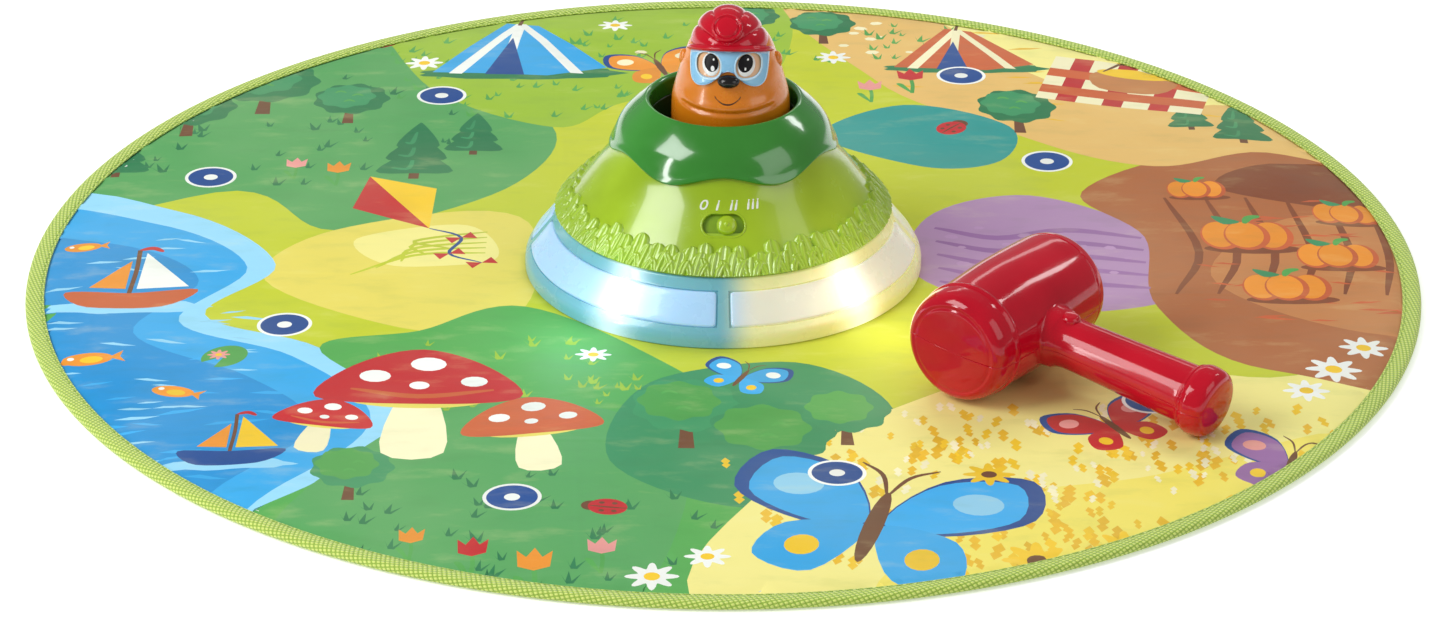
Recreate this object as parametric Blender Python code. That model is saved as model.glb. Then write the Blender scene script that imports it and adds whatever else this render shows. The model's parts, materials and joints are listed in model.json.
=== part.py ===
"""Electronic play mat: a round touch mat, a hill-shaped console with a sprung mole, and a toy hammer.

Metres, +Z up, with the front towards -Y. The origin is the middle of the mat, on the floor.
"""

import math

import bmesh
import bpy
import numpy as np
from mathutils import Matrix, Vector

# Shared clearances and steps of turned shapes
FULL_TURN = 2 * math.pi
GAP = 0.0003
MERGE = 0.000005
OVERRUN = 0.002
SMOOTH_ANGLE = math.radians(40)
MAT_STEPS = 48
CONSOLE_STEPS = 36
WELL_STEPS = 24
MOLE_STEPS = 24
SMALL_STEPS = 14
TINY_STEPS = 8
ROUND_EDGE_POINTS = 3
SLOT_END_POINTS = 5

# The mat: layers from the floor up, and the binding round the edge
MAT_RADIUS = 0.400
MAT_HOLE_RADIUS = 0.0975
BACKING_THICKNESS = 0.0008
FOAM_THICKNESS = 0.0015
FILM_THICKNESS = 0.0003
PRINT_THICKNESS = 0.0005
BINDING_WIDTH = 0.0108
BINDING_HEIGHT = 0.0048
BINDING_LEG = 0.0008
BINDING_WEB = 0.0040
SHEET_STEP_WIDTH = 0.0022

# The base plate, which clamps the mat from below
BASE_LIP_RADIUS = 0.1080
BASE_LIP_THICKNESS = 0.0018
BASE_THICKNESS = 0.0020
BASE_WALL_RADIUS = 0.0967
BASE_WALL_THICKNESS = 0.0022
BASE_WALL_TOP = 0.0080
POST_CIRCLE_RADIUS = 0.0800
POST_RADIUS = 0.0040
POST_COUNT = 4
BOSS_RADIUS = 0.0046
BOSS_TOP = 0.0120
SCREW_SHANK_RADIUS = 0.0014
SCREW_HEAD_RADIUS = 0.0030
SCREW_HEAD_HEIGHT = 0.0020
SCREW_HEAD_DEPTH = 0.0020
SCREW_BITE = 0.0120
PILOT_SPARE_DEPTH = 0.0015

# The battery compartment and its door
CELL_RADIUS = 0.0071
CELL_LENGTH = 0.0490
CELL_TIP_RADIUS = 0.0026
CELL_TIP_LENGTH = 0.0012
CELL_COUNT = 3
CONTACT_RADIUS = 0.0045
CONTACT_THICKNESS = 0.0005
CONTACT_NUB_RADIUS = 0.0020
CONTACT_NUB_LENGTH = 0.0010
CONTACT_SPRING_LENGTH = 0.0046
COMPARTMENT_Y = 0.0430
COMPARTMENT_WALL = 0.0016
DOOR_THICKNESS = 0.0016
DOOR_LEDGE = 0.0030
DOOR_SCREW_PAD = 0.0100

# The loudspeaker, which faces down through slots in the base plate
SPEAKER_Y = -0.0445
SPEAKER_RADIUS = 0.0250
SPEAKER_RIM_HEIGHT = 0.0022
SPEAKER_RIM_WIDTH = 0.0026
SPEAKER_THROAT_RADIUS = 0.0120
SPEAKER_THROAT_HEIGHT = 0.0110
SPEAKER_SHEET = 0.0010
CONE_SHEET = 0.0005
CONE_NECK_RADIUS = 0.0080
CONE_HEIGHT = 0.0075
MAGNET_RADIUS = 0.0115
MAGNET_HEIGHT = 0.0060
GRILLE_SLOT_WIDTH = 0.0024
GRILLE_SLOT_PITCH = 0.0070
GRILLE_SLOT_COUNT = 5
GRILLE_RADIUS = 0.0210

# The main board and the strike sensor under the plunger
BOARD_THICKNESS = 0.0016
BOARD_HALF_WIDTH = 0.0300
BOARD_HALF_DEPTH = 0.0135
BOARD_Y = -0.0020
BOARD_STAND_HEIGHT = 0.0030
BOARD_STAND_RADIUS = 0.0026
BOARD_STAND_INSET = 0.0045
BOARD_SCREW_RADIUS = 0.0010
BOARD_SCREW_HEAD_RADIUS = 0.0020
BOARD_SCREW_HEAD_HEIGHT = 0.0013
SENSOR_HALF_WIDTH = 0.0060
SENSOR_HALF_DEPTH = 0.0045
SENSOR_TOP = 0.0160
SENSOR_SLOT_HALF = 0.0016
SENSOR_SLOT_FLOOR = 0.0095

# The light ring: translucent skirt over the mat, with four set-in windows
RING_RADIUS = 0.1143
RING_WALL = 0.0022
RING_SIDE_TOP = 0.0110
WINDOW_LOW_STEP = 0.0033
WINDOW_LOW_RISE = 0.0050
WINDOW_HIGH_STEP = 0.0027
WINDOW_HIGH_DROP = 0.0065
RING_TOP_STEP = 0.0008
RING_TOP_Z = 0.0385
RING_TOP_LEDGE = 0.0050
RING_FOOT_INNER = 0.0992
RING_FOOT_THICKNESS = 0.0024
WINDOW_COUNT = 4
WINDOW_GAP = 0.0075
WINDOW_DEPTH = 0.0012
WINDOW_PROUD = 0.0003
LED_BOARD_OUTER = 0.1088
LED_BOARD_INNER = 0.0997
LED_RADIUS = 0.0025
LED_HEIGHT = 0.0086
LED_CIRCLE_RADIUS = 0.1035

# The dome shell of the console
DOME_WALL = 0.0020
DOME_SLOPE_SHARE = 0.82
DOME_KNEE_RADIUS = 0.0638
DOME_KNEE_Z = 0.0765
DOME_CROWN_RADIUS = 0.0590
DOME_CROWN_Z = 0.0882
DOME_LEDGE_RADIUS = 0.0520
DOME_LEDGE_Z = 0.0948
DOME_LEDGE_INNER = 0.0437

# The grass moulding round the foot of the dome
GRASS_BLADES = 60
GRASS_STEPS_PER_BLADE = 2
GRASS_SHEET = 0.0010
GRASS_FOOT_PROUD = 0.0012
GRASS_BLADE_PROUD = 0.0018
GRASS_VALLEY_HEIGHT = 0.0095
GRASS_BLADE_HEIGHT = 0.0040
GRASS_TALL_HEIGHT = 0.0060
GRASS_CLUMP_HEIGHT = 0.0052
GRASS_CLUMP_TURNS_SHARES = ((7, 0.0, 0.45), (11, 1.3, 0.35), (17, 2.1, 0.30))
GRASS_BLADE_TURNS_SHARES = ((29, 0.4, 0.55), (31, 2.6, 0.45))
GRASS_ROW_SHARES = (0.0, 0.80)

# The hill collar, whose lower edge waves round the dome
COLLAR_WALL = 0.0017
COLLAR_EDGE_Z = 0.0817
COLLAR_WAVE = 0.0031
COLLAR_WAVES = 6
COLLAR_LOW_RADIUS = 0.0660
COLLAR_LOW_Z = 0.0770
COLLAR_SIDE_RADIUS = 0.0612
COLLAR_SIDE_Z = 0.0895
COLLAR_MID_RADIUS = 0.0575
COLLAR_MID_Z = 0.0958
COLLAR_SHOULDER_RADIUS = 0.0522
COLLAR_SHOULDER_Z = 0.1015
COLLAR_RIM_RADIUS = 0.0465
COLLAR_RIM_Z = 0.1066
COLLAR_CREST_RADIUS = 0.0442
COLLAR_CREST_Z = 0.1080
COLLAR_OPENING_RADIUS = 0.0416
COLLAR_OPENING_Z = 0.1058
COLLAR_EDGE_ROUND = 0.0008

# The well in which the mole slides, with its guide
WELL_WALL = 0.0018
WELL_FLANGE_RADIUS = 0.0500
WELL_FLANGE_THICKNESS = 0.0017
WELL_FLOOR_RADIUS = 0.0402
WELL_FLOOR_Z = 0.0500
WELL_FLOOR_THICKNESS = 0.0020
GUIDE_RADIUS = 0.0090
GUIDE_BOTTOM_Z = 0.0400
GUIDE_TOP_Z = 0.0580

# The mole, its plunger and its return spring
MOLE_X = 0.0040
MOLE_TURN = math.radians(-4)
MOLE_TRAVEL = 0.0180
MOLE_WALL = 0.0020
MOLE_FOOT_RADIUS = 0.0335
MOLE_FOOT_Z = 0.0780
MOLE_CHEST_RADIUS = 0.0340
MOLE_CHEST_Z = 0.0985
MOLE_CREASE_RADIUS = 0.0322
MOLE_CREASE_Z = 0.1110
MOLE_CHEEK_RADIUS = 0.0326
MOLE_CHEEK_Z = 0.1158
MOLE_FACE_RADIUS = 0.0304
MOLE_FACE_Z = 0.1240
MOLE_BROW_RADIUS = 0.0268
MOLE_BROW_Z = 0.1330
MOLE_SKULL_RADIUS = 0.0215
MOLE_SKULL_Z = 0.1450
MOLE_CROWN_RADIUS = 0.0120
MOLE_CROWN_Z = 0.1535
MOLE_TOP_Z = 0.1565
MOLE_BOSS_RADIUS = 0.0042
MOLE_BOSS_Z = 0.0863
STEM_RADIUS = 0.0065
STEM_BORE_RADIUS = 0.0035
STEM_FLANGE_THICKNESS = 0.0020
STEM_BOTTOM_Z = 0.0355
STEM_HEAD_DEPTH = 0.0050
STEM_GROOVE_DEPTH = 0.0008
CLIP_HEIGHT = 0.0014
CLIP_RADIUS = 0.0096
CLIP_MOUTH = 0.0060
FLAG_HALF_WIDTH = 0.0062
FLAG_HALF_THICKNESS = 0.0007
FLAG_BOTTOM_Z = 0.0285
SPRING_RADIUS = 0.0112
SPRING_WIRE_RADIUS = 0.0007
SPRING_TURNS = 6
SPRING_STEPS_PER_TURN = 8

# The mole's face and hat
EAR_Z = 0.1304
EAR_X = 0.0262
EAR_HALF_SIZES = (0.0036, 0.0030, 0.0038)
EYE_X = 0.0104
EYE_Z = 0.1374
EYE_HALF_WIDTH = 0.0058
EYE_HALF_HEIGHT = 0.0061
EYE_THICKNESS = 0.0008
PAD_RINGS = 3
PAD_STEPS = 16
NOSE_Z = 0.1288
NOSE_HALF_SIZES = (0.0058, 0.0048, 0.0046)
NOSE_SUNK = 0.0008
GOGGLE_LOW_Z = 0.1265
GOGGLE_HIGH_Z = 0.1475
GOGGLE_HALF_WIDTH = 0.0221
GOGGLE_THICKNESS = 0.0020
GOGGLE_HOLE_X = 0.0108
GOGGLE_HOLE_HALF_WIDTH = 0.0068
GOGGLE_HOLE_HALF_HEIGHT = 0.0071
GOGGLE_OUTLINE_SHARES = (
    (0.0, 0.93), (0.40, 0.99), (0.78, 1.0), (0.94, 0.92), (1.0, 0.72), (1.0, 0.40),
    (0.95, 0.12), (0.80, 0.0), (0.55, 0.05), (0.32, 0.20), (0.17, 0.38), (0.0, 0.44),
)
HAT_Z = 0.1378
HAT_TILT = math.radians(-23)
HAT_HALF_WIDTH = 0.0240
HAT_HALF_DEPTH = 0.0258
HAT_HEIGHT = 0.0236
HAT_LOBE_SHARE = 0.055
HAT_LOBES_PER_TURN = 7
HAT_SQUARE_SHARE = 0.02
HAT_RIDGE_STEPS = 22
HAT_DEPTH_STEPS = 8
BRIM_STEPS = 27
BRIM_INNER_RADIUS = 0.0200
BRIM_RADIUS = 0.0256
BRIM_HALF_THICKNESS = 0.0013
BRIM_EDGE = 0.0008
BRIM_FRONT_SHARE = 1.10
LAMP_ANGLE = math.radians(27)
LAMP_RADIUS = 0.0074
LAMP_STEP = 0.0010
LAMP_PROUD = 0.0014
LAMP_DEPTH = 0.0040

# The level switch: a knob that slides round the front of the dome
LEVEL_Z = 0.0622
KNOB_RADIUS = 0.0056
KNOB_PROUD = 0.0026
KNOB_NUB_RADIUS = 0.0014
KNOB_NUB_HEIGHT = 0.0007
LEVEL_PITCH = 0.0037
LEVEL_POSITIONS = 4
LEVEL_REST_POSITION = 2
SLOT_CLEARANCE = 0.0005
SLOT_HALF_HEIGHT = 0.0064
SLIDER_THICKNESS = 0.0014
SLIDER_HALF_HEIGHT = 0.0084
SLIDER_STEPS = 8
TONGUE_RADIUS = 0.0015
TONGUE_LENGTH = 0.0045
SWITCH_HALF_WIDTH = 0.0125
SWITCH_HALF_HEIGHT = 0.0045
SWITCH_DEPTH = 0.0070
SWITCH_START = 0.0052
SWITCH_GROOVE_SPARE = 0.0008
LEVEL_BOARD_HALF_WIDTH = 0.0135
LEVEL_BOARD_HALF_HEIGHT = 0.0160
LEVEL_POST_OFFSET = 0.0127
LEVEL_POST_RADIUS = 0.0026

# The hammer: two half-shells, lying on the mat with the handle's end down
HAMMER_X = 0.1556
HAMMER_Y = -0.1385
HAMMER_TURN = math.radians(53.2)
HAMMER_WALL = 0.0022
HEAD_HALF_LENGTH = 0.0560
HEAD_RADIUS = 0.0330
HEAD_EDGE_RADIUS = 0.0318
HEAD_FACE_RADIUS = 0.0225
HEAD_FACE_CROWN = 0.0020
HEAD_CORNER = 0.0085
BEAD_FROM_FACE = 0.0190
BEAD_HALF_WIDTH = 0.0024
BEAD_PROUD = 0.0009
HANDLE_START = 0.0180
NECK_RADIUS = 0.0168
NECK_REACH = 0.0330
NECK_END_REACH = 0.0420
HANDLE_THIN_RADIUS = 0.0142
HANDLE_THICK_RADIUS = 0.0166
HANDLE_END_REACH = 0.1195
FLANGE_RADIUS = 0.0192
FLANGE_ROUND = 0.0030
HANDLE_CAP_LENGTH = 0.0175
HANDLE_CROWN_RADIUS = 0.0150
HEAD_STEPS = 24
HANDLE_STEPS = 16
HEAD_CORNER_POINTS = 3

# Levels that follow from the sizes above
SHEET_RIM_RADIUS = MAT_RADIUS - BINDING_WEB - GAP
BINDING_INNER_RADIUS = MAT_RADIUS - BINDING_WIDTH
OUTER_STEP_HIGH = BINDING_INNER_RADIUS - GAP - GAP
OUTER_STEP_LOW = OUTER_STEP_HIGH - SHEET_STEP_WIDTH
INNER_STEP_HIGH = BASE_LIP_RADIUS + GAP + GAP
INNER_STEP_LOW = INNER_STEP_HIGH + SHEET_STEP_WIDTH
BACKING_RIM_Z = BINDING_LEG + GAP
PRINT_RIM_Z = BACKING_RIM_Z + BACKING_THICKNESS + GAP
FOAM_Z = BACKING_THICKNESS + GAP
FILM_Z = FOAM_Z + FOAM_THICKNESS + GAP
PRINT_Z = FILM_Z + FILM_THICKNESS + GAP
PRINT_TOP_Z = PRINT_Z + PRINT_THICKNESS
BINDING_SLOT_TOP_Z = PRINT_RIM_Z + PRINT_THICKNESS + GAP
LIP_TOP_Z = BASE_LIP_THICKNESS + GAP
CLAMP_Z = LIP_TOP_Z + PRINT_THICKNESS + GAP
RING_SIDE_Z = PRINT_TOP_Z + GAP
DOME_FOOT_Z = RING_TOP_Z + GAP
DOME_FOOT_RADIUS = DOME_KNEE_RADIUS + (DOME_KNEE_Z - DOME_FOOT_Z) * DOME_SLOPE_SHARE
RING_TOP_RADIUS = DOME_FOOT_RADIUS + RING_TOP_STEP
RING_TOP_INNER = RING_TOP_RADIUS - RING_TOP_LEDGE
WINDOW_LOW_RADIUS = RING_RADIUS - WINDOW_LOW_STEP
WINDOW_LOW_Z = RING_SIDE_TOP + WINDOW_LOW_RISE
WINDOW_HIGH_RADIUS = RING_TOP_RADIUS + WINDOW_HIGH_STEP
WINDOW_HIGH_Z = RING_TOP_Z - WINDOW_HIGH_DROP
WELL_FLANGE_Z = DOME_LEDGE_Z + GAP
WELL_TOP_Z = WELL_FLANGE_Z + WELL_FLANGE_THICKNESS
STEM_FLANGE_Z = MOLE_BOSS_Z - GAP - STEM_FLANGE_THICKNESS
BOARD_Z = BASE_THICKNESS + BOARD_STAND_HEIGHT + GAP
SLOPE_ANGLE = math.atan(DOME_SLOPE_SHARE)
HAMMER_REACH = HANDLE_END_REACH + HANDLE_CAP_LENGTH
LEVEL_TRAVEL = LEVEL_PITCH * (LEVEL_POSITIONS - 1)
LEVEL_REST_OFFSET = LEVEL_PITCH * LEVEL_REST_POSITION - LEVEL_TRAVEL / 2
SLOT_HALF_LENGTH = LEVEL_TRAVEL / 2 + KNOB_RADIUS + SLOT_CLEARANCE

# Colour, roughness, metallic value and transmission of each finish
FINISHES = {
    "backing": ((0.10, 0.11, 0.12), 0.85, 0.0, 0.0),
    "foam": ((0.85, 0.85, 0.80), 0.90, 0.0, 0.0),
    "film": ((0.75, 0.78, 0.70), 0.35, 0.0, 0.0),
    "print": ((0.55, 0.68, 0.10), 0.55, 0.0, 0.0),
    "binding": ((0.45, 0.72, 0.06), 0.75, 0.0, 0.0),
    "white_plastic": ((0.82, 0.82, 0.80), 0.45, 0.0, 0.0),
    "milky_plastic": ((0.80, 0.84, 0.82), 0.30, 0.0, 0.4),
    "window_plastic": ((0.88, 0.90, 0.92), 0.25, 0.0, 0.5),
    "lime_plastic": ((0.42, 0.62, 0.03), 0.22, 0.0, 0.0),
    "grass_plastic": ((0.45, 0.66, 0.05), 0.28, 0.0, 0.0),
    "green_plastic": ((0.06, 0.36, 0.06), 0.20, 0.0, 0.0),
    "dark_green_plastic": ((0.02, 0.12, 0.02), 0.40, 0.0, 0.0),
    "orange_plastic": ((0.85, 0.28, 0.03), 0.22, 0.0, 0.0),
    "red_plastic": ((0.62, 0.01, 0.03), 0.18, 0.0, 0.0),
    "blue_plastic": ((0.30, 0.62, 0.88), 0.30, 0.0, 0.0),
    "eye_white": ((0.92, 0.92, 0.90), 0.20, 0.0, 0.0),
    "black_plastic": ((0.01, 0.01, 0.01), 0.15, 0.0, 0.0),
    "steel": ((0.60, 0.60, 0.62), 0.30, 1.0, 0.0),
    "circuit_board": ((0.03, 0.20, 0.07), 0.45, 0.0, 0.0),
    "cell_wrap": ((0.08, 0.10, 0.30), 0.35, 0.0, 0.0),
    "paper_cone": ((0.05, 0.05, 0.05), 0.90, 0.0, 0.0),
}


def clear_scene():
    """Remove every object of the scene."""
    for obj in list(bpy.data.objects):
        bpy.data.objects.remove(obj, do_unlink=True)


def finish_material(finish):
    """The material of a finish, made once."""
    made = bpy.data.materials.get(finish)
    if made:
        return made
    colour, roughness, metallic, transmission = FINISHES[finish]
    made = bpy.data.materials.new(finish)
    made.use_nodes = True
    shader = made.node_tree.nodes["Principled BSDF"]
    shader.inputs["Base Color"].default_value = (*colour, 1.0)
    shader.inputs["Roughness"].default_value = roughness
    shader.inputs["Metallic"].default_value = metallic
    shader.inputs["Transmission Weight"].default_value = transmission
    return made


def add_object(name, bm, finish=None, parent=None):
    """Close a bmesh into a named object whose faces point out. Without a finish it is a hidden helper."""
    bmesh.ops.remove_doubles(bm, verts=bm.verts, dist=MERGE)
    bmesh.ops.recalc_face_normals(bm, faces=bm.faces)
    mesh = bpy.data.meshes.new(name)
    bm.to_mesh(mesh)
    bm.free()
    mesh.shade_smooth()
    mesh.set_sharp_from_angle(angle=SMOOTH_ANGLE)
    obj = bpy.data.objects.new(name, mesh)
    bpy.context.collection.objects.link(obj)
    if parent:
        obj.parent = parent
    if finish:
        # Each node has a material of its own, so that a finish can be changed piece by piece.
        own = finish_material(finish).copy()
        own.name = name + "_finish"
        mesh.materials.append(own)
    else:
        obj.hide_render = True
        obj.display_type = "WIRE"
    return obj


def add_empty(name, matrix):
    """An empty that carries the pieces of a moving body."""
    empty = bpy.data.objects.new(name, None)
    bpy.context.collection.objects.link(empty)
    empty.matrix_world = matrix
    return empty


def combine(target, helper, operation="DIFFERENCE"):
    """Cut a helper from a target, join it to the target, or keep what they share."""
    modifier = target.modifiers.new(operation.title() + "_" + helper.name, "BOOLEAN")
    modifier.operation = operation
    modifier.solver = "EXACT"
    modifier.object = helper


def spin_points(bm, points, steps, closed=True, matrix=Matrix.Identity(4)):
    """Turn a (radius, height) outline once round Z. An open outline starts and ends on the axis."""
    verts = [bm.verts.new((radius, 0, height)) for radius, height in points]
    pairs = list(zip(verts, verts[1:]))
    if closed:
        pairs.append((verts[-1], verts[0]))
    edges = [bm.edges.new(pair) for pair in pairs]
    before = set(bm.verts) - set(verts)
    bmesh.ops.spin(
        bm,
        geom=verts + edges,
        cent=(0, 0, 0),
        axis=(0, 0, 1),
        angle=FULL_TURN,
        steps=steps,
        use_merge=True,
    )
    new = [vert for vert in bm.verts if vert not in before]
    bmesh.ops.transform(bm, matrix=matrix, verts=new)


def turned(name, points, steps, finish=None, closed=True, matrix=Matrix.Identity(4), parent=None):
    """An object turned from one outline."""
    bm = bmesh.new()
    spin_points(bm, points, steps, closed, matrix)
    return add_object(name, bm, finish, parent)


def add_sector(bm, points, azimuths):
    """Carry a closed (radius, height) outline through a row of azimuths, with its two ends closed."""
    sections = [[bm.verts.new(polar(radius, turn, z)) for radius, z in points] for turn in azimuths]
    for first, second in zip(sections, sections[1:]):
        for row in range(len(points)):
            after = (row + 1) % len(points)
            bm.faces.new((first[row], second[row], second[after], first[after]))
    bm.faces.new(sections[0])
    bm.faces.new(sections[-1][::-1])


def add_box(bm, low, high, matrix=Matrix.Identity(4)):
    """A box between two corners."""
    low = Vector(low)
    high = Vector(high)
    size = Matrix.Diagonal((*(high - low), 1))
    place = Matrix.Translation((low + high) / 2)
    bmesh.ops.create_cube(bm, size=1, matrix=matrix @ place @ size)


def add_cylinder(bm, radius, low, high, x=0, y=0, steps=SMALL_STEPS, matrix=Matrix.Identity(4)):
    """A round bar along Z between two heights."""
    place = Matrix.Translation((x, y, (low + high) / 2))
    bmesh.ops.create_cone(
        bm,
        cap_ends=True,
        segments=steps,
        radius1=radius,
        radius2=radius,
        depth=high - low,
        matrix=matrix @ place,
    )


def add_prism(bm, outline, low, high, matrix=Matrix.Identity(4)):
    """An (x, y) outline raised along Z from one height to another."""
    before = set(bm.verts)
    face = bm.faces.new([bm.verts.new((x, y, low)) for x, y in outline])
    raised = bmesh.ops.extrude_face_region(bm, geom=[face])["geom"]
    top = [item for item in raised if isinstance(item, bmesh.types.BMVert)]
    bmesh.ops.translate(bm, vec=(0, 0, high - low), verts=top)
    new = [vert for vert in bm.verts if vert not in before]
    bmesh.ops.transform(bm, matrix=matrix, verts=new)


def add_ellipsoid(bm, centre, half_sizes, across, down):
    """An ellipsoid about a centre."""
    matrix = Matrix.Translation(centre) @ Matrix.Diagonal((*half_sizes, 1))
    bmesh.ops.create_uvsphere(bm, u_segments=across, v_segments=down, radius=1, matrix=matrix)


def offset_outline(points, distance):
    """Move an open (radius, height) outline to its left, each corner along its mitre."""
    points = np.array(points)
    runs = np.diff(points, axis=0)
    runs /= np.linalg.norm(runs, axis=1)[:, None]
    normals = np.stack([-runs[:, 1], runs[:, 0]], axis=1)
    before = np.vstack([normals[:1], normals])
    after = np.vstack([normals, normals[-1:]])
    mitre = (before + after) / (1 + (before * after).sum(axis=1))[:, None]
    moved = points + distance * mitre
    moved[points[:, 0] == 0, 0] = 0
    return [tuple(point) for point in moved]


def walled(points, wall):
    """A closed outline: an open one, and the same moved in by the wall."""
    return list(points) + offset_outline(points, wall)[::-1]


def polar(radius, azimuth, z=0.0):
    """A point at an azimuth counted from +X."""
    return Vector((radius * math.cos(azimuth), radius * math.sin(azimuth), z))


def post_azimuths():
    """Where the console's screws stand, between the axes."""
    return [FULL_TURN * (index + 0.5) / POST_COUNT for index in range(POST_COUNT)]


# Mat


def mat_backing():
    """The backing ends outside the base plate's lip, and its outer rim steps up into the binding."""
    lower = [
        (INNER_STEP_HIGH, 0),
        (OUTER_STEP_LOW, 0),
        (OUTER_STEP_HIGH, BACKING_RIM_Z),
        (SHEET_RIM_RADIUS, BACKING_RIM_Z),
    ]
    upper = [(radius, height + BACKING_THICKNESS) for radius, height in reversed(lower)]
    return turned("mat_backing", lower + upper, MAT_STEPS, "backing")


def mat_top_sheet():
    """The printed sheet, whose rims step down under the light ring's foot and into the binding."""
    lower = [
        (MAT_HOLE_RADIUS, LIP_TOP_Z),
        (INNER_STEP_HIGH, LIP_TOP_Z),
        (INNER_STEP_LOW, PRINT_Z),
        (OUTER_STEP_LOW, PRINT_Z),
        (OUTER_STEP_HIGH, PRINT_RIM_Z),
        (SHEET_RIM_RADIUS, PRINT_RIM_Z),
    ]
    upper = [(radius, height + PRINT_THICKNESS) for radius, height in reversed(lower)]
    return turned("mat_top_sheet", lower + upper, MAT_STEPS, "print")


def flat_sheet(name, finish, z, thickness):
    """A plain ring of sheet between the two steps."""
    inner = INNER_STEP_LOW + GAP
    outer = OUTER_STEP_LOW - GAP
    loop = [(inner, z), (outer, z), (outer, z + thickness), (inner, z + thickness)]
    return turned(name, loop, MAT_STEPS, finish)


def edge_binding():
    """The woven tape folded round the edge, plump outside and open inside."""
    half = BINDING_HEIGHT / 2
    web = MAT_RADIUS - BINDING_WEB
    slot_top = BINDING_SLOT_TOP_Z
    round_points = [
        (MAT_RADIUS - half + half * math.cos(angle), half + half * math.sin(angle))
        for angle in np.linspace(-math.pi / 2, math.pi / 2, ROUND_EDGE_POINTS)
    ]
    loop = [
        (BINDING_INNER_RADIUS, 0),
        *round_points,
        (BINDING_INNER_RADIUS + BINDING_LEG, BINDING_HEIGHT),
        (BINDING_INNER_RADIUS, BINDING_HEIGHT - BINDING_LEG),
        (BINDING_INNER_RADIUS, slot_top),
        (web, slot_top),
        (web, BINDING_LEG),
        (BINDING_INNER_RADIUS, BINDING_LEG),
    ]
    return turned("edge_binding", loop, MAT_STEPS, "binding")


def build_mat():
    mat_backing()
    flat_sheet("mat_foam", "foam", FOAM_Z, FOAM_THICKNESS)
    flat_sheet("mat_touch_film", "film", FILM_Z, FILM_THICKNESS)
    mat_top_sheet()
    edge_binding()


# Base plate, batteries and loudspeaker


def compartment_sizes():
    """Half length, half width and inner height of the battery compartment, and where the cells start."""
    contacts = 2 * CONTACT_THICKNESS + CONTACT_NUB_LENGTH + CONTACT_SPRING_LENGTH
    half_length = (CELL_LENGTH + CELL_TIP_LENGTH + contacts + 4 * GAP) / 2
    half_width = CELL_COUNT * (CELL_RADIUS + GAP)
    height = DOOR_THICKNESS + 2 * CELL_RADIUS + 3 * GAP
    cell_start = -half_length + CONTACT_THICKNESS + CONTACT_SPRING_LENGTH + 2 * GAP
    return half_length, half_width, height, cell_start


def door_screw_x():
    """The door's screw stands in a pad beyond the compartment's end."""
    half_length = compartment_sizes()[0]
    return half_length + DOOR_LEDGE + COMPARTMENT_WALL


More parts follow.
